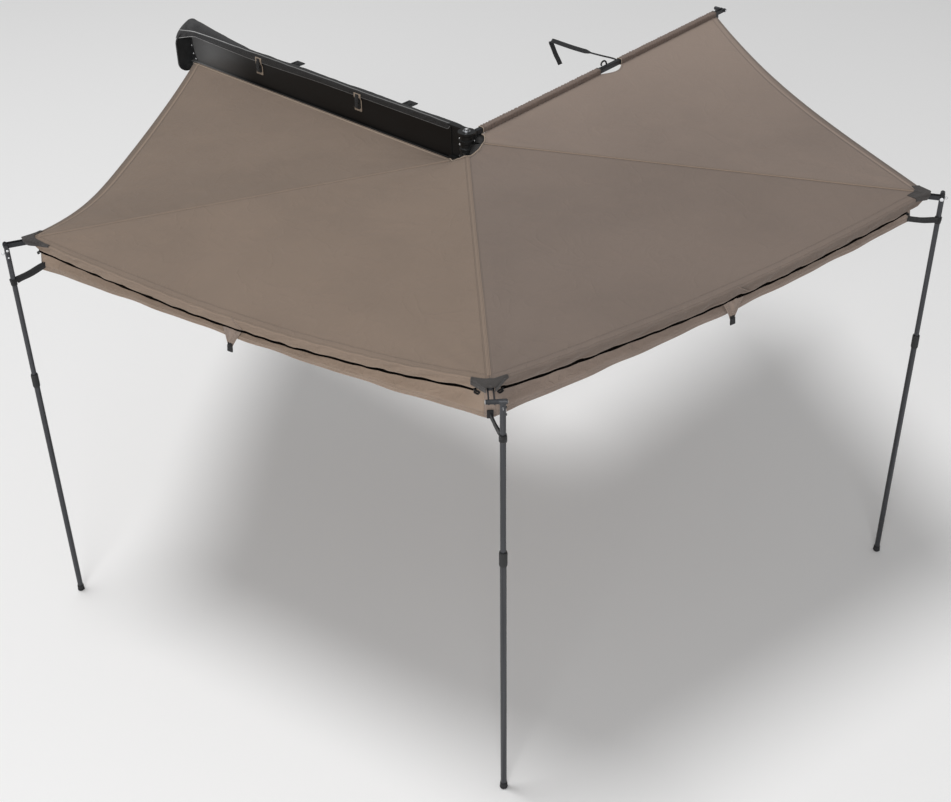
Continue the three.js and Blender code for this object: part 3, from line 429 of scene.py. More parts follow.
def cloth_piece(name, grid, facts, material, body, flip=False):
    """A mesh over a grid of points, with the cloth's facts at each of them."""
    faces = grid_faces(*grid.shape[:2])
    if flip:
        faces = [face[::-1] for face in faces]
    return piece(name, grid.reshape(-1, 3), faces, material, body, cloth=facts.reshape(-1, 3))


def thicken(made, thickness=CLOTH, offset=1.0):
    grown = made.modifiers.new("thickness", "SOLIDIFY")
    grown.thickness = thickness
    grown.offset = offset


def fold_with_arms(made):
    """Gives a piece a mesh of its own."""
    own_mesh(made)


def outward_from(ends):
    """Level, and square to a hem that runs along ends."""
    return np.array([ends[1], -ends[0], 0.0]) / np.linalg.norm(ends[:2])


def lengths(points, axis):
    """Distances run along a grid of points, from its first row or column."""
    steps = np.linalg.norm(np.diff(points, axis=axis), axis=-1)
    start = np.zeros_like(np.take(steps, [0], axis=axis))
    return np.concatenate([start, np.cumsum(steps, axis=axis)], axis=axis)


def ripple(points, size, seed):
    """Smooth noise from -1 to 1 at each point, the same in each run."""
    flat = points.reshape(-1, 3) / size + seed * 17.3
    found = [noise.noise(Vector(p)) for p in flat]
    return np.array(found).reshape(points.shape[:-1])


def over_arm(k, radius, side):
    """A point on top of arm k, a way off its centre line towards the next arm."""
    radius, side = np.broadcast_arrays(np.asarray(radius, float), np.asarray(side, float))
    height = level(k) + radius * math.tan(RISE) + ARM_HALF_HEIGHT / math.cos(RISE) + 0.0004
    flat = radius[..., None] * along(k) + side[..., None] * aside(k)
    return HUB + flat + height[..., None] * UP


def radius_at(k, u):
    return CLOTH_START + (CLOTH_REACH[k] - CLOTH_START) * u


def near_arm(k):
    return lambda u, side: over_arm(k, radius_at(k, u), side)


def far_arm(k):
    return lambda u, side: over_arm(k, radius_at(k, u), -side)


def sleeve_seam(u, side):
    """The rear panel's edge, low on the sleeve of arm 4, cut back in an arc where the sleeve has its gap."""
    sleeve_side, neck_room, gap_depth = 0.0148, 0.0075, 0.036
    radius = radius_at(4, u)
    arc = np.sin(math.pi * np.clip((radius - SLEEVE_GAP[0]) / (SLEEVE_GAP[1] - SLEEVE_GAP[0]), 0, 1))
    beside_neck = 1 - np.clip((radius - 0.10) / 0.03, 0, 1)
    point = over_arm(4, radius, -side - sleeve_side - neck_room * beside_neck - gap_depth * arc)
    point[..., 2] -= 2 * ARM_HALF_HEIGHT
    return point


def wall_edge(u, side):
    """The front panel's edge in the lip along the case's foot."""
    start, end, tuck, margin = -0.092, -2.137, 0.018, 0.01
    u, side = np.broadcast_arrays(np.asarray(u, float), np.asarray(side, float))
    x = start + (end - start) * u
    y = LIP[0] - np.where(side > margin, tuck, tuck * side / margin)
    return HUB + np.stack([x, y, np.full_like(x, LIP[1] - 0.001)], -1)


def belly(t):
    return 4 * t * (1 - t)


def cloth_point(near, far, slack, u, t):
    """A point on the slack cloth between two seams. Slack is its concavity, its sag and their skew."""
    concavity, sag, skew = slack
    a, b = near(u, RIDGE), far(u, RIDGE)
    point = a + (b - a) * t[..., None]
    inward = (HUB - point) * np.array([1, 1, 0])
    reach = np.linalg.norm(inward, axis=-1, keepdims=True)
    inward = inward / np.maximum(reach, 1e-6)
    shift = concavity * belly(t ** skew) * u ** 3
    point = point + inward * shift[..., None]
    mean = (np.linalg.norm((a - HUB)[..., :2], axis=-1) * (1 - t)
            + np.linalg.norm((b - HUB)[..., :2], axis=-1) * t)
    bulge = (mean - np.linalg.norm((point - HUB)[..., :2], axis=-1)) * np.clip(1 - u * 2.2, 0, 1) ** 2
    point = point - inward * bulge[..., None]
    point[..., 2] -= sag * belly(t) * u ** 2
    return point


def tension(points, corner, count, size, reach):
    """Folds that fan out from a corner where the cloth is pulled."""
    away = points - corner
    distance = np.linalg.norm(away[..., :2], axis=-1)
    angle = np.arctan2(away[..., 1], away[..., 0])
    wander = ripple(points, 0.5, count) * 0.8
    fan = np.sin(angle * count + wander)
    return size * fan * np.clip(distance / 0.08, 0, 1) * np.exp(-distance / reach)


def canopy_grid(near, far, slack):
    """The grid of a panel: flat beside each seam, and slack between."""
    rows, columns = 84, 96
    u = np.linspace(0, 1, rows)[:, None] ** 0.92
    t = np.linspace(0, 1, columns)[None, :]
    beside = np.array([0.0003, 0.004, 0.008, 0.0115])[None, :]
    left = near(*np.broadcast_arrays(u, beside))
    right = far(*np.broadcast_arrays(u, beside[:, ::-1]))
    middle = cloth_point(near, far, slack, *np.broadcast_arrays(u, t))
    return np.concatenate([left, middle, right], axis=1)


def cloth_facts(grid):
    """For each point: metres along, metres in from the hem's fold, metres from the nearer seam."""
    across = lengths(grid, 1)
    out = lengths(grid, 0)
    inward = out[-1:] - out
    seam = np.minimum(across, across[:, -1:] - across)
    run = across - across[:, -1:] / 2
    return np.stack([run, inward, seam], -1)


def set_folds(grid, facts, corners, hem, seed):
    """Tension folds, seam puckers and a little slack, as height."""
    run, inward, seam = facts[..., 0], facts[..., 1], facts[..., 2]
    away = np.clip((seam - 0.016) / 0.05, 0, 1)
    height = np.zeros(grid.shape[:-1])
    for corner, count, size, reach in corners:
        height += tension(grid, corner, count, size, reach)
    height += ripple(grid, 0.42, seed) * 0.0045 + ripple(grid, 0.16, seed + 1) * 0.0012
    pucker = np.sin(inward * 2 * math.pi / 0.07 + 3 * ripple(grid, 0.2, seed + 2))
    height += 0.0009 * pucker * np.exp(-np.clip(seam - 0.016, 0, 1) / 0.03)
    if hem:
        waves = np.sin(run * 2 * math.pi / 0.11 + 5 * ripple(grid, 0.25, seed + 3))
        return (height + 0.0016 * waves * np.exp(-inward / 0.035)) * away
    return height * away * (0.15 + 0.85 * np.clip(inward / 0.12, 0, 1))


# Where the rows of the hem's face lie, as shares of its fall
HEM_SHARES = (0.04, 0.11, 0.17, 0.27, 0.44, 0.62, 0.78, 0.90, 0.96, 1.0)


def hem_face(edge, edge_facts, ends, seed):
    """The hem below a panel's edge: a welt at its fold and at its foot, and puckers between."""
    outward = outward_from(ends)
    share = np.clip(edge_facts[:, 2] / 0.06, 0, 1)
    strips, strip_facts = [], []
    for part in HEM_SHARES:
        drop = part * HEM_FALL
        deep = min(1, part / 0.44)
        welt = 0.0016 * math.exp(-((part - 0.07) / 0.045) ** 2)
        welt += 0.0014 * math.exp(-((part - 0.94) / 0.06) ** 2)
        puff = ripple(edge + drop * 3, 0.07, seed + 5) * 0.004 * deep
        crease = np.sin(edge_facts[:, 0] * 2 * math.pi / 0.16 + drop * 90) * 0.0022 * deep
        pleats = np.abs(ripple(edge, 0.022, seed + 9)) * 0.0014 * deep
        point = edge + np.outer(0.0022 + welt + drop * 0.1 + (puff + crease + pleats) * share, outward)
        point[:, 2] -= drop * (0.12 + 0.88 * share)
        strips.append(point)
        strip_facts.append(np.stack([edge_facts[:, 0], np.full(len(edge), -drop), edge_facts[:, 2]], -1))
    return np.stack(strips), np.stack(strip_facts)


def canopy_panel(name, node, near, far, slack, material, body, corners, seed, hem=False):
    grid = canopy_grid(near, far, slack)
    facts = cloth_facts(grid)
    grid[..., 2] += set_folds(grid, facts, corners, hem, seed)
    edge = grid[-1].copy()
    if hem:
        strips, strip_facts = hem_face(edge, facts[-1], far(1.0, RIDGE) - near(1.0, RIDGE), seed)
        grid = np.concatenate([grid, strips], axis=0)
        facts = np.concatenate([facts, strip_facts], axis=0)
        facts[..., 1] += HEM_FALL
    made = cloth_piece(name, grid, facts, material, body, flip=True)
    thicken(made)
    a, b, c, d = grid[:-1, :-1], grid[1:, :-1], grid[1:, 1:], grid[:-1, 1:]
    halves = np.linalg.norm(np.cross(b - a, c - a), axis=-1)
    halves = halves + np.linalg.norm(np.cross(c - a, d - a), axis=-1)
    fold_with_arms(made)
    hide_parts(node)
    return grid, edge


def corner_at(k):
    return over_arm(k, CLOTH_REACH[k], 0.0)


# Each panel's concavity, sag and skew, solved against the photograph
FRONT_SLACK = (0.058, 0.09, 3.8)
LEFT_SLACK = (-0.0275, 0.060, 1.6)
RIGHT_SLACK = (0.002, 0.0605, 1.0)
REAR_SLACK = (0.053, 0.021, 1.23)
WALL_CORNER = HUB + np.array([-2.15, 0.02, -0.1])

# What pulls folds into the cloth: a place, how many folds fan out, their height and their reach
hub_pull = (HUB, 17, 0.0014, 0.35)
middle_pull = (corner_at(2), 17, 0.0035, 0.35)
third_pull = (corner_at(3), 15, 0.003, 0.35)
front_grid, front_edge = canopy_panel(
    "canopy_front", "canopy_panel_1", wall_edge, far_arm(1), FRONT_SLACK, canvas_front, "case",
    [(corner_at(1), 13, 0.0035, 0.40), (WALL_CORNER, 11, 0.003, 0.4), hub_pull], 1)
left_grid, left_edge = canopy_panel(
    "canopy_left", "canopy_panel_2", near_arm(1), far_arm(2), LEFT_SLACK, canvas_left, "arm_1",
    [(corner_at(1), 15, 0.003, 0.35), middle_pull, hub_pull], 7, hem=True)
right_grid, right_edge = canopy_panel(
    "canopy_right", "canopy_panel_3", near_arm(2), far_arm(3), RIGHT_SLACK, canvas_right, "arm_2",
    [middle_pull, third_pull, hub_pull], 13, hem=True)
rear_grid, rear_edge = canopy_panel(
    "canopy_rear", "canopy_panel_4", near_arm(3), sleeve_seam, REAR_SLACK, canvas_rear, "arm_3",
    [third_pull, (corner_at(4), 13, 0.003, 0.35), hub_pull], 19)


def square(points):
    """Turns a route's points into places, ways along and distances run."""
    points = np.asarray(points, float)
    way = np.gradient(points, axis=0)
    way /= np.linalg.norm(way, axis=1, keepdims=True)
    return points, way, lengths(points, 0)


def smooth_route(points, count):
    """A smooth curve through points, as many places along it."""
    points = np.asarray(points, float)
    ends = np.concatenate([[2 * points[0] - points[1]], points, [2 * points[-1] - points[-2]]])
    found = []
    for s in np.linspace(0, len(points) - 1 - 1e-9, count):
        i = int(s)
        f = s - i
        a, b, c, d = ends[i:i + 4]
        found.append(0.5 * (2 * b + (c - a) * f + (2 * a - 5 * b + 4 * c - d) * f ** 2
                            + (3 * b - a - 3 * c + d) * f ** 3))
    return np.array(found)


def round_cord(name, points, radius, material, body, sides=8):
    """A closed round cord along a route."""
    points, way, run = square(points)
    level_way = np.array([1.0, 0, 0])
    rings, facts = [], []
    for p, w, s in zip(points, way, run):
        a = np.cross(w, UP if abs(w[2]) < 0.95 else level_way)
        a /= np.linalg.norm(a)
        b = np.cross(w, a)
        for q in range(sides):
            turn = 2 * math.pi * q / sides
            rings.append(p + radius * (math.cos(turn) * a + math.sin(turn) * b))
            facts.append((s, radius * turn, 1.0))
    faces = grid_faces(len(points), sides, closed=True)
    faces += [tuple(range(sides))[::-1], tuple(len(rings) - sides + q for q in range(sides))]
    return piece(name, rings, faces, material, body, cloth=facts)


def flat_strap(name, points, width_way, width, thickness, material, body=None, columns=8):
    """A strap along a route, with thin edges. Its width and the way it lies are one value or one a point."""
    points, way, run = square(points)
    ways = np.broadcast_to(np.asarray(width_way, float), points.shape)
    widths = np.broadcast_to(np.asarray(width, float), len(points))
    shares = [-0.5 + j / columns for j in range(columns + 1)]
    section = [(a, 0.5) for a in shares] + [(a, -0.5) for a in reversed(shares)]
    verts, facts = [], []
    for p, w, s, wide, here in zip(points, way, run, ways, widths):
        wide = wide - w * np.dot(wide, w)
        wide = wide / np.linalg.norm(wide)
        up = np.cross(w, wide)
        for a, h in section:
            thin = 0.6 if abs(a) > 0.49 else 1.0
            verts.append(p + wide * a * here + up * h * thickness * thin)
            facts.append((s, a * here, (0.5 - abs(a)) * here))
    count = len(section)
    faces = grid_faces(len(points), count, closed=True)
    faces += [tuple(range(count))[::-1], tuple(len(verts) - count + q for q in range(count))]
    return piece(name, verts, faces, material, body, cloth=facts)


# Felled seams over the three ridges, a little proud of the cloth
TAPE_HALF = 0.0075
TAPE_SIDES = np.array([-TAPE_HALF, -0.0068, -0.0035, 0.0, 0.0035, 0.0068, TAPE_HALF])
TAPE_HEIGHTS = np.array([0.0, 0.0009, 0.0012, 0.0014, 0.0012, 0.0009, 0.0])
TAPE_HEIGHT_SHARES = (0.5, 0.4, 2.0)


def ridge_tape(k):
    u = np.linspace(0.004, 0.985, 220)
    lift = TAPE_HEIGHTS * TAPE_HEIGHT_SHARES[k - 1]
    wander = ripple(np.stack([u * 9, u * 0, u * 0], -1), 1.0, 70 + k) * 0.0022
    grid = np.stack([over_arm(k, radius_at(k, u), side + wander) for side in TAPE_SIDES], axis=1)
    grid[..., 2] += CLOTH + 0.0002 + lift[None, :] + ripple(grid, 0.05, 3 + k) * 0.0003
    run = np.broadcast_to(np.linspace(0, 1.95, len(u))[:, None], grid.shape[:2])
    seam = np.broadcast_to(TAPE_HALF - np.abs(TAPE_SIDES)[None, :], grid.shape[:2])
    facts = np.stack([run, run * 0 + 0.3, seam], -1)
    thicken(cloth_piece(f"ridge_tape_{k}", grid, facts, canvas_tape, f"arm_{k}", flip=True), 0.0005, -1.0)


for k in (1, 2, 3):
    ridge_tape(k)


# Valances, hung behind the hem, with their lower edge held nearly level
def valance(name, node, k, material, seed, slack, drops, ends_at, flares):
    """Drops are at its two ends and what its middle has more. It ends a way in from each corner."""
    near, far = near_arm(k), far_arm(k + 1)
    columns, rows, flared, fold_count = 220, 22, 0.07, 6
    ends = far(1.0, RIDGE) - near(1.0, RIDGE)
    width = np.linalg.norm(ends)
    first, last = (ends_at[0] - RIDGE) / width, 1 - (ends_at[1] - RIDGE) / width
    t = first + (last - first) * np.linspace(0, 1, columns)
    top = cloth_point(near, far, slack, np.ones_like(t), t)
    top[:, 2] -= 0.0006
    chord = near(1.0, RIDGE) + np.outer(t, ends)
    down = np.linspace(0, 1, rows)[:, None]
    run = t * width
    grid = np.repeat(top[None], rows, axis=0)
    drop = drops[0] * (1 - t) + drops[1] * t + drops[2] * belly(t)
    slant = (chord[:, 2] - drop - top[:, 2])[None] * down
    grid[..., 2] += slant
    folds = (1 - np.cos(t * math.pi * 2 * fold_count))[None] / 2 * 0.005 * down
    crossing = ripple(grid * np.array([1, 1, 2.2]), 0.13, seed) * 0.0035
    crossing = crossing * np.sin(math.pi * np.clip(down * 0.9 + 0.1, 0, 1))
    pulled = np.sin((run[None] * 0.55 + down * 0.16 * np.sign(t - 0.5)[None]) * 2 * math.pi / 0.12) * 0.0016
    edge = np.clip(np.minimum(t - first, last - t) / 0.04, 0, 1)[None]
    recess = 0.020 * np.sin(math.pi * np.clip(down * 1.25, 0, 1)) * edge
    inset = 0.0046 + folds + recess + (np.abs(crossing) + pulled * down) * edge
    grid -= inset[..., None] * outward_from(ends)
    near_end = np.clip(1 - (t - first) / flared, 0, 1)
    far_end = np.clip(1 - (last - t) / flared, 0, 1)
    spread = flares[1] * far_end - flares[0] * near_end
    grid += (spread[None] * down)[..., None] * ends / width
    hanging = -slant
    facts = np.stack([np.broadcast_to(run[None], grid.shape[:2]), hanging[-1:] - hanging,
                      np.broadcast_to((edge * 0.04)[0][None], grid.shape[:2]) + 0.05], -1)
    made = cloth_piece(name, grid, facts, material, f"arm_{k}")
    thicken(made, STRIP, 0.0)
    area = width * (last - first) * float(np.mean(hanging[-1]))
    fold_with_arms(made)
    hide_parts(node)
    round(area * 1.012, 3)
    return grid


left_strip = valance("valance_left", "valance_1_2", 1, canvas_strip_lit_left, 31, LEFT_SLACK,
                     (0.143, 0.161, 0.0), (0.060, 0.024), (0.026, 0.0))
right_strip = valance("valance_right", "valance_2_3", 2, canvas_strip, 37, RIGHT_SLACK,
                      (0.158, 0.100, 0.036), (0.024, 0.100), (0.0, 0.026))


# Piping round the canopy's hole over the pivot, and the welt beside the case's lip
def hub_piping(name, first_row, body):
    route = first_row + np.array([0, 0, 0.0022])
    made = round_cord(name, route, 0.0032, piping_cloth, body)
    fold_with_arms(made)


hub_piping("hub_piping_front", front_grid[0], "case")
hub_piping("hub_piping_left", left_grid[0], "arm_1")
hub_piping("hub_piping_right", right_grid[0], "arm_2")
hub_piping("hub_piping_rear", rear_grid[0], "arm_3")
foot_route = wall_edge(np.linspace(0, 1, 90), np.full(90, RIDGE)) + np.array([0, -0.004, 0.0028])
round_cord("wall_welt", foot_route, 0.0028, piping_cloth, "case")


# Corner pockets: a cap over each corner, drawn out to a beak along the arm
def along_line(points, distances):
    run = lengths(points, 0)
    return np.stack([np.interp(distances, run, points[:, i]) for i in range(3)], -1)


def corner_pocket(k, before, after, wings, drops, deeps):
    """before and after are the edges of the panels on each side, both read outwards from the corner."""
    s = np.linspace(-1, 1, 53)
    away = np.abs(s) * np.where(s < 0, wings[0], wings[1])
    fold = np.where((s < 0)[:, None], along_line(before, away), along_line(after, away))
    normals = []
    for edge in (before, after):
        way = along_line(edge, np.array([0.1]))[0] - edge[0]
        way[2] = 0
        n = np.array([way[1], -way[0], 0.0]) / np.linalg.norm(way)
        normals.append(n if np.dot(n, along(k)) < 0 else -n)
    blend = np.clip((away - 0.012) / 0.012, 0, 1)[:, None]
    inward = -along(k) * (1 - blend) + np.where((s < 0)[:, None], normals[0], normals[1]) * blend
    inward /= np.linalg.norm(inward, axis=1, keepdims=True)
    push = (POCKET_TIP[k] - CLOTH_REACH[k]) * (1 - np.clip((away - 0.0170) / 0.046, 0, 1)) ** 1.2
    beak = push[:, None] * (along(k) + np.array([0, 0, math.tan(RISE)]))
    end_deep = np.where(s < 0, deeps[0], deeps[2])
    deep = end_deep + (deeps[1] - end_deep) * (1 - np.abs(s)) ** 2
    drop = np.where(s < 0, drops[0], drops[2])
    drop = drop + (drops[1] - drop) * (1 - np.abs(s))
    rows, facts = [], []
    for q in (1.0, 0.96, 0.8, 0.55, 0.3, 0.1):
        point = (fold + inward * deep[:, None]) * q + (fold + beak) * (1 - q)
        point[:, 2] += 0.0034 + 0.0006 * math.sin(q * 9)
        rows.append(point)
        facts.append(np.stack([s * away, (1 - q) * deep, np.full(len(s), 0.05)], -1))
    for q in (0.0, 0.06, 0.2, 0.45, 0.7, 0.93, 1.0):
        point = fold + beak * (1 - 0.62 * q) - inward * (0.0052 + 0.11 * drop * q)[:, None]
        point[:, 2] += 0.0034 * (1 - min(1, q * 8)) - drop * q
        rows.append(point)
        facts.append(np.stack([s * away, np.minimum(deep + drop * q, 0.03), np.full(len(s), 0.05)], -1))
    grid = np.stack(rows)
    grid[..., 2] += ripple(grid, 0.025, 40 + k) * 0.0007
    count = grid.shape[1]
    faces = []
    for f in grid_faces(len(rows), count):
        middle = grid.reshape(-1, 3)[list(f)].mean(0) - HUB
        if f[0] // count >= 6 and abs(np.dot(middle, aside(k))) < 0.0150:
            continue
        faces.append(f[::-1])
    made = piece(f"corner_pocket_{k}", grid.reshape(-1, 3), faces, pocket_cloth, f"arm_{k}",
                 cloth=np.stack(facts).reshape(-1, 3))
    thicken(made, STRIP)


corner_pocket(1, front_edge[::-1], left_edge, (0.085, 0.118), (0.004, 0.026, 0.003), (0.010, 0.016, 0.003))
corner_pocket(2, left_edge[::-1], right_edge, (0.071, 0.073), (0.021, 0.036, 0.005), (0.004, 0.008, 0.003))
corner_pocket(3, right_edge[::-1], rear_edge, (0.074, 0.070), (0.010, 0.026, 0.005), (0.040, 0.046, 0.030))


# The loop at a zip's end: ways along the zip, outwards and up, one for each point
PULL_LOOP = ((0.010, 0.001, 0.001), (0.002, 0.004, -0.001), (-0.010, 0.0065, -0.006),
             (-0.014, 0.006, -0.013), (-0.008, 0.0045, -0.017), (0.002, 0.0035, -0.012),
             (0.008, 0.002, -0.006))


# The zip under each hem, for a wall of cloth, with a loop at each end; its near-black tape also carries the
# painted shade of the gap under the hem
def hem_zip(name, edge, k, ends_at):
    body, count = f"arm_{k}", 200
    outward = outward_from(edge[-1] - edge[0])
    at = np.linspace(ends_at[0], lengths(edge, 0)[-1] - ends_at[1], count)
    middle = along_line(edge, at) + np.outer(np.full(count, 0.0046), outward)
    middle[:, 2] -= HEM_FALL + 0.0058 + ripple(middle, 0.2, 61 + k) * 0.0006
    middle += np.outer(ripple(middle, 0.12, 51 + k) * 0.0005, outward)
    fold_with_arms(flat_strap(name, middle, UP, 0.0145, 0.0024, zip_shade_cloth, body, columns=4))
    ends = (("start", middle[0], edge[1] - edge[0]), ("end", middle[-1], edge[-2] - edge[-1]))
    for label, start, step in ends:
        step = step / np.linalg.norm(step)
        loop = [start + step * a + outward * b + np.array([0, 0, c]) for a, b, c in PULL_LOOP]
        loop = smooth_route(loop, 22)
        pull_name = f"{name}_pull_{label}"
        pull = flat_strap(pull_name, loop, outward, 0.009, 0.0022, black_webbing, body, columns=4)
        fold_with_arms(pull)


hem_zip("hem_zip_left", left_edge, 1, (0.052, 0.048))
hem_zip("hem_zip_right", right_edge, 2, (0.040, 0.120))

# A gusset's tab, as ways up and outwards, and its pleat, as ways up, outwards and along the hem
TAB_LOOP = ((-0.018, 0.0), (-0.030, 0.0012), (-0.044, 0.002), (-0.054, 0.0034), (-0.0555, 0.0062),
            (-0.052, 0.0078), (-0.040, 0.0062), (-0.026, 0.0042))
PLEAT = ((0.003, 0.0045, 0.022), (-0.009, 0.0075, 0.040), (-0.020, 0.0095, 0.058), (-0.030, 0.0105, 0.074))


# A gusset and its webbing tab at the middle of each hem
def hem_gusset(name, edge, k, t, drop, wide, lean):
    body = f"arm_{k}"
    ends = edge[-1] - edge[0]
    way = ends / np.linalg.norm(ends)
    outward = outward_from(ends)
    middle = along_line(edge, np.array([t * lengths(edge, 0)[-1]]))[0]
    foot_z = (edge[0] * (1 - t) + edge[-1] * t)[2] - drop
    rows, columns = 12, 15
    grid, facts = [], []
    for i in range(rows):
        down = i / (rows - 1)
        z = (middle[2] - HEM_FALL - 0.003) * (1 - down) + (foot_z - 0.030) * down
        half = wide * (1 - down) ** 1.15 + 0.0125
        for j in range(columns):
            a = -1 + 2 * j / (columns - 1)
            fold = 0.0035 * (1 - abs(a)) * math.sin(math.pi * min(1, down * 1.1))
            fold += 0.0012 * math.sin(a * 9 + down * 5)
            out = 0.0030 + 0.0030 * down + fold
            point = middle + way * (a * half + lean * (1 - down)) + outward * out
            grid.append([point[0], point[1], z])
            facts.append((a * half, (1 - abs(a)) * half, 0.05))
    made = piece(name, grid, grid_faces(rows, columns), canvas_strip, body, cloth=facts)
    thicken(made, STRIP, 0.0)
    top = middle + outward * 0.0065
    tab_route = [np.array([top[0], top[1], foot_z + h]) + outward * o for h, o in TAB_LOOP]
    tab = flat_strap(f"{name}_tab", smooth_route(tab_route, 26), way, 0.024, 0.0018, black_webbing, body)
    pleat = [middle + way * shift + outward * o + np.array([0, 0, h]) for h, o, shift in PLEAT]
    crease = round_cord(f"{name}_pleat", smooth_route(pleat, 14), 0.0022, canvas_strip, body)
    for each in (made, tab, crease):
        fold_with_arms(each)


hem_gusset("gusset_left", left_edge, 1, 0.487, 0.155, 0.040, 0.018)
hem_gusset("gusset_right", right_edge, 2, 0.510, 0.158, 0.052, 0.004)


# The strip that carries the valance round the middle corner, behind the leg
def corner_strip(k):
    left, right = left_strip[:, -1], right_strip[:, 0]
    columns, rows = 13, left.shape[0]
    corner = over_arm(k, CLOTH_REACH[k] + 0.004, 0.0)
    top_limit = corner_at(k)[2] - 0.031
    grid, facts = [], []
    for i in range(rows):
        down = i / (rows - 1)
        a, b = left[i], right[i]
        pushed = np.array([corner[0], corner[1], (a[2] + b[2]) / 2])
        for j in range(columns):
            t = j / (columns - 1)
            point = a * (1 - t) ** 2 + pushed * 2 * t * (1 - t) + b * t ** 2
            point[2] = min(point[2], top_limit)
            grid.append(point)
            facts.append(((t - 0.5) * 0.05, (1 - down) * 0.15, 0.05))
    made = piece("valance_corner", grid, grid_faces(rows, columns), canvas_strip, f"arm_{k}",
                 cloth=facts)
    thicken(made, STRIP, 0.0)


corner_strip(2)


def axle_at(k):
    """Where leg k's axle crosses the middle of arm k."""
    rise = np.array([0, 0, level(k) + ARM_REACH * math.sin(RISE)])
    return HUB + along(k) * ARM_REACH * math.cos(RISE) + rise


# Leg straps: a stitched cuff round the leg and two bands up to the canopy's corner
STRAP_DROPS = (0.141, 0.137, 0.109)
CUFF_PROFILE = ((0.0118, -0.0146), (0.0136, -0.0154), (0.0142, -0.012), (0.0146, -0.004), (0.0150, 0.003),
                (0.0146, 0.010), (0.0140, 0.0146), (0.0118, 0.0150))


def leg_cuff(k, middle):
    rings, facts = [], []
    around = 32
    for r, h in CUFF_PROFILE:
        for q in range(around):
            turn = 2 * math.pi * q / around
            swell = 1 + 0.05 * math.sin(turn * 2 + h * 90)
            way = along(k) * math.cos(turn) + aside(k) * math.sin(turn)
            rings.append(middle + way * r * swell + np.array([0, 0, h]))
            facts.append((turn * 0.014, h, 0.0155 - abs(h)))
    cuff = piece(f"leg_cuff_{k}", rings, grid_faces(len(CUFF_PROFILE), around, closed=True), black_webbing,
                 f"leg_{k}_upper", cloth=facts)
    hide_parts(f"leg_strap_{k}")


def leg_strap(k, head):
    """Head is where the bands meet the cloth."""
    middle = axle_at(k) + aside(k) * LEG_ASIDE - np.array([0, 0, STRAP_DROPS[k - 1] + 0.015])
    leg_cuff(k, middle)
    for label, side in (("inner", -1), ("outer", 1)):
        begin = middle + along(k) * side * 0.0128 - aside(k) * 0.002 + np.array([0, 0, 0.001 * side])
        ahead = head - begin
        ahead /= np.linalg.norm(ahead)
        near_head = head + along(k) * side * 0.006
        bowed = begin + (near_head - begin) * 0.5 + np.array([0, 0, -0.004])
        route = [begin, begin + ahead * 0.02, bowed, near_head - ahead * 0.02, near_head]
        band = flat_strap(f"leg_band_{k}_{label}", smooth_route(route, 34), UP, 0.025, 0.0019, black_webbing)
        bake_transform(band)


# The middle leg's bands end on a tab of their own below the corner, and the others on a valance
tab_head = axle_at(2) + along(2) * -0.106 - np.array([0, 0, 0.131])
leg_strap(1, left_strip[16, 2] - aside(1) * 0.001)
leg_strap(2, tab_head)
tab_route = [tab_head + np.array([0, 0, 0.020]) - along(2) * 0.002, tab_head + np.array([0, 0, 0.008]),
             tab_head - np.array([0, 0, 0.006]), tab_head - np.array([0, 0, 0.013])]
flat_strap("leg_tab_2", smooth_route(tab_route, 14), aside(2), 0.024, 0.003, black_webbing, "arm_2")
leg_strap(3, right_strip[17, -3])


# Sleeves round the last arm, ruched along their length
def last_arm_middle(r):
    return HUB + along(4) * r + np.array([0, 0, level(4) + r * math.tan(RISE)])


def rounded_square(turn):
    """The way to a point of a square with round corners, and how far out it lies."""
    c, d = math.cos(turn), math.sin(turn)
    return c, d, (abs(c) ** 4 + abs(d) ** 4) ** -0.25


def arm_sleeve(name, start, end, node, seed):
    count, around = int((end - start) / 0.0042), 30
    rings, facts = [], []
    for i in range(count):
        f = i / (count - 1)
        r = start + (end - start) * f
        edge = min(f, 1 - f) * (end - start)
        ruche = math.sin(r * 2 * math.pi / 0.021 + 4 * noise.noise(Vector((r * 14, seed, 0))))
        for q in range(around):
            c, d, square_off = rounded_square(2 * math.pi * q / around)
            crumple = noise.noise(Vector((r * 60 + 3 * c, c * 2.2 + seed, d * 2.2)))
            fine = noise.noise(Vector((r * 150 + 2 * d, c * 4, d * 4 + seed)))
            rough = 0.0016 + 0.0018 * ruche + 0.0024 * crumple + 0.0010 * fine
            swell = 0.0006 + rough * min(1, edge / 0.012)
            if edge < 0.006:
                swell = 0.0014
            radius = 0.0146 * square_off + max(swell, 0.0)
            rings.append(last_arm_middle(r) + aside(4) * c * radius + UP * d * radius)
            facts.append((r, edge, 0.05))
    made = piece(name, rings, grid_faces(count, around, closed=True), canvas_sleeve, "arm_4",
                 cloth=facts)
    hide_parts(node)
    for label, r, material in (("start", start + 0.001, piping_cloth), ("end", end - 0.001, pocket_cloth)):
        hoop = []
        for q in range(41):
            c, d, square_off = rounded_square(2 * math.pi * q / 40)
            hoop.append(last_arm_middle(r) + (aside(4) * c + UP * d) * 0.0160 * square_off)
        round_cord(f"{name}_{label}", hoop, 0.0022, material, "arm_4")


arm_sleeve("arm_sleeve_inner", 0.100, SLEEVE_GAP[0], "arm_4_sleeve_inner", 3.0)
arm_sleeve("arm_sleeve_outer", SLEEVE_GAP[1], 2.052, "arm_4_sleeve_outer", 9.0)


# Cover flaps
FLAP_ROWS = 26


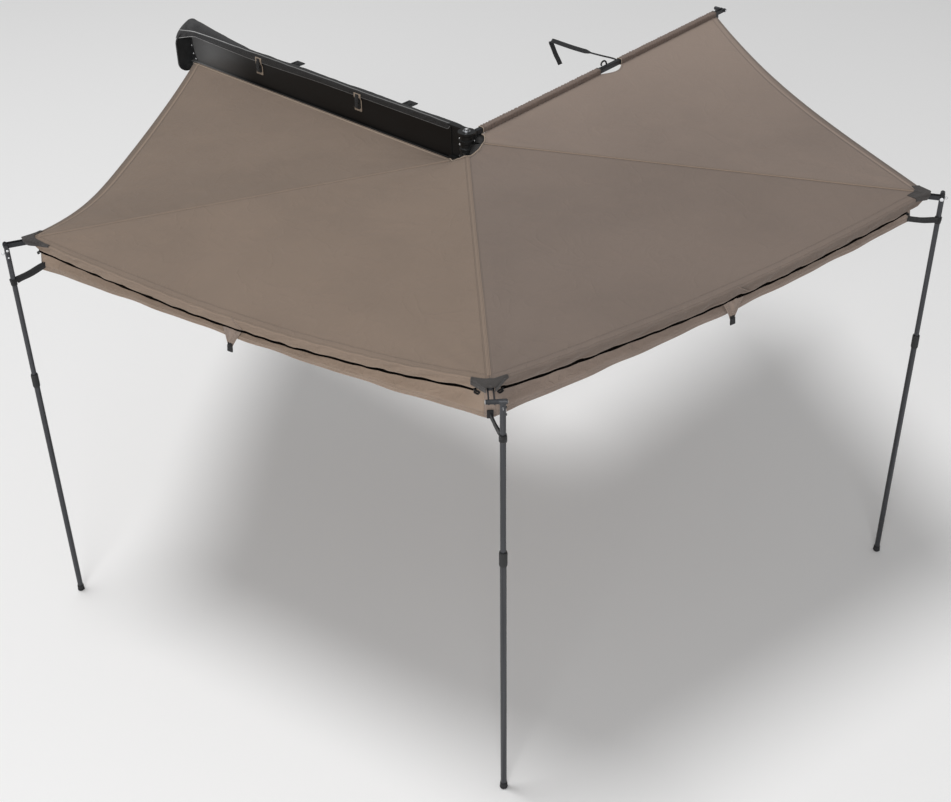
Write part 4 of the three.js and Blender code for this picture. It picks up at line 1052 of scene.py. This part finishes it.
def cover_flap(name, node, point_at, columns, rows, lift, edges):
    """Lift is the side that its thickness grows to. Edges are the rows that carry piping."""
    shares = np.linspace(0, 1, columns)
    grid = np.array([[point_at(a, b) for a in shares] for b in np.linspace(0, 1, rows)])
    along_run, across_run = lengths(grid, 1), lengths(grid, 0)
    inward = np.minimum(across_run, across_run[-1:] - across_run)
    facts = np.stack([along_run, inward, np.minimum(along_run, along_run[:, -1:] - along_run)], -1)
    made = cloth_piece(name, grid, facts, cover_cloth, "case")
    thicken(made, 0.0022, lift)
    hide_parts(node)
    for row, label in edges:
        bound = grid[row] + np.array([0, 0, 0.001])
        round_cord(f"{name}_{label}", bound, 0.0026, cover_piping, "case")


# The upper flap's section, in millimetres: over the end cap, just behind it, and along the case
FLAP_SECTIONS = (
    ((-63, 47), (-54, 67), (-40, 87), (-12, 110), (22, 128), (52, 135.5), (84, 124), (101, 95)),
    ((32.8, 45), (32.4, 60), (33.2, 74.5), (38, 81), (45, 104), (64, 124), (86, 114), (98, 90)),
    ((32.6, 30), (32.3, 56), (33.2, 74.5), (38.5, 79.4), (46, 80.4), (54, 79.4), (59.5, 73), (60, 62)),
)
FLAP_START = -2.1803
FLAP_LENGTH = 2.1323
CAP_DEPTH = 0.06
TAPER = 0.46


def flap_section(x):
    run = x - FLAP_START
    over_cap, behind, plain = (np.array(s) / 1000 for s in FLAP_SECTIONS)
    if run < CAP_DEPTH:
        f = run / CAP_DEPTH
        section = over_cap + (behind - over_cap) * (1 - (1 - f) ** 2)
    else:
        section = behind + (plain - behind) * min(1, (run - CAP_DEPTH) / TAPER) ** 0.9
    hang = 0.011 * min(1, max(0, (run - 0.7) / 0.4))
    section[:2, 1] += np.array([hang, hang * 0.4])
    if x > -0.150:
        tuck = min(1, (x + 0.150) / 0.014)
        section[:3] = section[:3] + (section[3] + np.array([-0.001, -0.0005]) - section[:3]) * tuck
    if x > -0.12:
        close = ((x + 0.12) / 0.072) ** 2
        section[3:] = section[3] + (section[3:] - section[3]) * (1 - 0.75 * close)
    return section


def upper_flap(a, b):
    x = FLAP_START + FLAP_LENGTH * a
    points = np.column_stack([np.full(8, x), flap_section(x)])
    place = smooth_route(points, 2 + FLAP_ROWS)[1:-1][int(round(b * (FLAP_ROWS - 1)))]
    slack = min(1, b * 2) * min(1, (1 - a) * 12)
    wave = noise.noise(Vector((x * 7, b * 2, 1.0))) * 0.0035 * slack
    crumple = noise.noise(Vector((x * 26, b * 5, 2.0))) * 0.0012 * slack
    place[2] += wave + crumple
    place[1] += noise.noise(Vector((x * 9, b * 3, 6.0))) * 0.0016 * min(1, b * 4)
    return HUB + place


def hanging_flap(a, b):
    start, end = -2.1687, -0.090
    x = start + (end - start) * a
    wave = math.sin(a * math.pi * 5) * 0.005 * b + noise.noise(Vector((x * 6, b * 1.5, 7.0))) * 0.004 * b
    crumple = noise.noise(Vector((x * 22, b * 4.0, 5.0))) * 0.0016 * b
    return HUB + np.array([x, 0.0422 + wave + crumple, -0.1106 - 0.189 * b])


cover_flap("cover_flap_upper", "bag_flap", upper_flap, 260, FLAP_ROWS, 1.0,
           ((0, "front"), (8, "fold")))
cover_flap("cover_flap_lower", "bag_lower_flap", hanging_flap, 220, 24, -1.0, ((-1, "foot"),))


# Compression straps: tan webbing over the wall's top edge, doubled at its foot, with a loose black tail
def wall_strap(name, x, node, hang):
    """Hang is how far down the webbing stands out over the flap."""
    front, back, top = 0.0346, 0.0430, 0.0754
    over_top = [(back, top - 0.010), (back, top - 0.003), (back - 0.0012, top - 0.0002),
                (0.0385, top + 0.0004), (front + 0.0012, top - 0.0002), (front, top - 0.0016),
                (front - 0.0008, top - 0.0100)]
    over_flap = [(0.0290, top - 0.0165), (0.0282, top - 0.024), (0.0284, top - hang),
                 (0.0310, top - hang - 0.008), (front, top - hang - 0.016)]
    foot = [(front, top - 0.080), (front, top - 0.100), (front - 0.0006, top - 0.1060),
            (front - 0.0022, top - 0.1078), (front - 0.0038, top - 0.1060), (front - 0.0036, top - 0.099),
            (front - 0.0034, top - 0.092)]
    tail = [(0.0262, top - 0.017), (0.0254, top - 0.030), (front - 0.0105, top - 0.044),
            (front - 0.0115, top - 0.052), (front - 0.0118, top - 0.066), (front - 0.0112, top - 0.078),
            (front - 0.0098, top - 0.088)]
    points = [HUB + np.array([x, y, z]) for y, z in over_top + over_flap + foot]
    made = flat_strap(name, smooth_route(points, 90), (1.0, 0, 0), 0.050, 0.0018, tan_webbing, "case",
                      columns=14)
    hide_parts(node)
    tail_route = smooth_route([HUB + np.array([x, y, z]) for y, z in tail], 30)
    flat_strap(f"{name}_tail", tail_route, (1.0, 0, 0), 0.024, 0.0016, black_webbing, "case")


wall_strap("wall_strap_front", -1.565, "strap_front", 0.045)
wall_strap("wall_strap_rear", -0.785, "strap_rear", 0.034)


# Bright heads: the rivets of the cap's flange, the hinge's screws, the pivot bolt and the ends of each axle
DOME_PROFILE = ((1.0, 0.0), (1.0, 0.25), (0.92, 0.5), (0.72, 0.78), (0.4, 0.95), (0.12, 1.0))


def bright_head(name, place, way, radius, height, body="case"):
    sides = 18
    way = np.asarray(way, float)
    a = np.cross(way, (0.3, 0.1, 1.0))
    a /= np.linalg.norm(a)
    b = np.cross(way, a)
    verts = []
    for r, h in DOME_PROFILE:
        for q in range(sides):
            turn = 2 * math.pi * q / sides
            out = (a * math.cos(turn) + b * math.sin(turn)) * radius * r
            verts.append(place + out + way * height * h)
    faces = grid_faces(len(DOME_PROFILE), sides, closed=True)
    faces += [tuple(range(sides))[::-1], tuple(len(verts) - sides + q for q in range(sides))]
    piece(name, verts, faces, polished_glint, body)


FLANGE_OUTLINE = ((-2.1758, 0.060), (-2.1625, 0.060), (-2.1605, 0.0), (-2.151, -0.052), (-2.132, -0.094),
                  (-2.1758, -0.094))
FLANGE_BACK, FLANGE_FRONT = 0.0357, 0.0332
around = len(FLANGE_OUTLINE)
flange_points = [HUB + np.array([x, y, z]) for y in (FLANGE_BACK, FLANGE_FRONT) for x, z in FLANGE_OUTLINE]
flange_faces = [tuple(range(around)), tuple(range(around, 2 * around))[::-1]]
flange_faces += [(i, i + around, (i + 1) % around + around, (i + 1) % around) for i in range(around)]
piece("cap_flange", flange_points, flange_faces, black_plastic, "case", smooth=False)
TO_FRONT = (0, -1, 0)
RIVET_FACE = 0.0333
RIVETS = ((-2.1688, -0.011), (-2.1610, -0.058), (-2.1440, -0.086))
SCREW_ASIDE, SCREW_FACE = -0.066, 0.0229
SCREW_HEIGHTS = (0.023, -0.005, -0.067)
for i, (x, z) in enumerate(RIVETS):
    bright_head(f"cap_rivet_{i + 1}", HUB + np.array([x, RIVET_FACE, z]), TO_FRONT, 0.0046, 0.0028)
for i, z in enumerate(SCREW_HEIGHTS):
    place = HUB + np.array([SCREW_ASIDE, SCREW_FACE, z])
    bright_head(f"head_screw_cap_{i + 1}", place, TO_FRONT, 0.0062, 0.0022)
bright_head("pivot_cap", HUB + np.array([0, 0, 0.1000]), UP, 0.0066, 0.0024)
for k in (1, 2, 3, 4):
    axle = axle_at(k)
    bright_head(f"axle_cap_{k}_inner", axle - aside(k) * 0.0219, -aside(k), 0.0082, 0.0018, f"arm_{k}")
    bright_head(f"axle_cap_{k}_outer", axle + aside(k) * AXLE_END, aside(k), 0.0056, 0.0018, f"arm_{k}")
    leg_face = axle + aside(k) * (LEG_ASIDE + 0.0108) - np.array([0, 0, 0.036])
    bright_head(f"leg_rivet_{k}", leg_face, aside(k), 0.0036, 0.0016, f"leg_{k}_upper")

# The hook on the last arm, where its sleeves part: ways along the arm, aside and up
HOOK = ((1.090, -0.0145, 0.004), (1.089, -0.0160, 0.014), (1.084, -0.0168, 0.024), (1.073, -0.0170, 0.0315),
        (1.060, -0.0170, 0.0325), (1.049, -0.0170, 0.027), (1.046, -0.0170, 0.019), (1.050, -0.0170, 0.014))
hook_points = [HUB + np.array([x, r, level(4) + r * math.tan(RISE) + z]) for r, x, z in HOOK]
hook_route = smooth_route(hook_points, 40)
round_cord("arm_hook", hook_route, 0.0046, black_plastic, "arm_4", sides=12)


# A dark collar of cloth between the canopy's hole and the pivot; its near black also stands in for the shade
# inside the hole
def hub_collar(name, k, reach, near_side, far_side, lower=0.0):
    """Each side is how far it stops off an arm's centre line, and what its outer part has more."""
    radius = np.array([0.0376, 0.044, 0.052, 0.060, 0.068, 0.0765, 0.0805, 0.085, reach])[:, None]
    radius, t = np.broadcast_arrays(radius, np.linspace(0, 1, 17)[None, :])
    outer = np.clip((radius - 0.077) / 0.003, 0, 1)
    a = over_arm(k, radius, near_side[0] + near_side[1] * outer)
    b = over_arm(k + 1, radius, far_side[0] + far_side[1] * outer)
    b[..., 2] -= lower
    point = a + (b - a) * t[..., None] - HUB
    point[..., :2] *= (radius / np.linalg.norm(point[..., :2], axis=-1))[..., None]
    grid = HUB + point + (0.0007 - 0.0042 * outer)[..., None] * UP
    facts = np.stack([t * 0.1, radius - 0.05, radius * 0 + 0.05], -1)
    made = cloth_piece(name, grid, facts, collar_shade_cloth, f"arm_{k}")
    thicken(made, 0.0008, 0.0)
    fold_with_arms(made)


hub_collar("hub_collar_left", 1, 0.0900, (0.0130, 0.0085), (-0.0130, -0.0085))
hub_collar("hub_collar_right", 2, 0.0900, (0.0130, 0.0085), (-0.0130, -0.0085))
hub_collar("hub_collar_rear", 3, 0.1050, (0.0050, 0.0165), (0.0060, 0.0), lower=0.0295)

# Tie strap, in millimetres from the hub: from the last arm to the crossbar's end, where its tail hangs
TIE_ROUTE = ((-14, 1172, 97), (-40, 1173, 99), (-125, 1176, 94), (-202, 1179, 91), (-300, 1182, 89.5),
             (-385, 1185, 91), (-446, 1187, 93), (-468, 1188, 90), (-470, 1188, 78), (-460, 1189, 60),
             (-440, 1190, 22), (-420, 1190, -6), (-404, 1190, -30))
CORD_WIDTH = 0.009
WEBBING_MORE = 0.016
WEBBING_START = -0.195
TIE_POINTS = 60
tie_points = smooth_route([HUB + np.array(p) / 1000 for p in TIE_ROUTE], TIE_POINTS)
tie_width = CORD_WIDTH + WEBBING_MORE * np.clip((WEBBING_START - (tie_points[:, 0] - HUB[0])) / 0.02, 0, 1)
hangs = np.clip((np.arange(TIE_POINTS) - 34) / 6, 0, 1)[:, None]
tie_ways = np.array([0, 0.72, 0.69]) * (1 - hangs) + np.array([0.85, 0.5, 0]) * hangs
tie = flat_strap("tie_webbing", tie_points, tie_ways, tie_width, 0.0022, black_webbing, "case")
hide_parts("tie_strap")
fold_with_arms(tie)

# Stage, light and camera
FLOOR_HALF = 40
FLOOR_TOP = GROUND - 0.0005
floor_corners = [(x * FLOOR_HALF, y * FLOOR_HALF, FLOOR_TOP) for x, y in ((-1, -1), (1, -1), (1, 1), (-1, 1))]
floor_mesh = bpy.data.meshes.new("floor")
floor_mesh.from_pydata(floor_corners, [], [(0, 1, 2, 3)])
floor = bpy.data.objects.new("floor", floor_mesh)
bpy.context.scene.collection.objects.link(floor)
floor_paint = Paint("pale_floor", roughness=0.9, Specular_IOR_Level=0.0)
floor_mesh.materials.append(floor_paint.finish((0.93, 0.93, 0.93, 1)))

world = bpy.data.worlds.new("studio")
bpy.context.scene.world = world
world.use_nodes = True
world.node_tree.nodes["Background"].inputs["Color"].default_value = (1, 1, 1, 1)
world.node_tree.nodes["Background"].inputs["Strength"].default_value = 0.3


def lamp(name, place, target, size, watts):
    data = bpy.data.lights.new(name, "AREA")
    data.shape = "DISK"
    data.size = size
    data.energy = watts
    made = bpy.data.objects.new(name, data)
    bpy.context.scene.collection.objects.link(made)
    made.location = place
    made.rotation_euler = (Vector(target) - Vector(place)).to_track_quat("-Z", "Y").to_euler()


lamp("overhead", (-3.3, -3.2, 19.7), (0.4, -0.4, -1), 7.4, 2300)
lamp("front", (9.5, -13.0, 5.0), (0.6, -0.4, -0.6), 8.0, 1100)

# The camera as it was solved from the photograph: its place, its turns in degrees and its focal length
PHOTO_WIDTH, PHOTO_HEIGHT, FOCAL_PIXELS = 951, 802, 1356.476
AXIS_PIXEL = (452.4119, 317.8539)
SENSOR = 36
CAMERA_PLACE = (4.5353, -4.4081, 2.6355)
CAMERA_TURNS = (-44.0018, 31.5722, -1.4315)
camera_data = bpy.data.cameras.new("camera")
camera = bpy.data.objects.new("camera", camera_data)
bpy.context.scene.collection.objects.link(camera)
bpy.context.scene.camera = camera
camera_data.sensor_width = SENSOR
camera_data.lens = FOCAL_PIXELS * SENSOR / PHOTO_WIDTH
camera_data.shift_x = (PHOTO_WIDTH / 2 - AXIS_PIXEL[0]) / PHOTO_WIDTH
camera_data.shift_y = (AXIS_PIXEL[1] - PHOTO_HEIGHT / 2) / PHOTO_WIDTH
yaw, pitch, roll = (math.radians(a) for a in CAMERA_TURNS)
ahead = Vector((math.sin(yaw) * math.cos(pitch), math.cos(yaw) * math.cos(pitch), -math.sin(pitch)))
right = Vector((math.cos(yaw), -math.sin(yaw), 0))
up = right.cross(ahead)
turned_right = right * math.cos(roll) + up * math.sin(roll)
turned_up = up * math.cos(roll) - right * math.sin(roll)
view = Matrix((turned_right, turned_up, -ahead)).transposed().to_4x4()
view.translation = CAMERA_PLACE
camera.matrix_world = view
bpy.context.scene.view_settings.view_transform = "Standard"
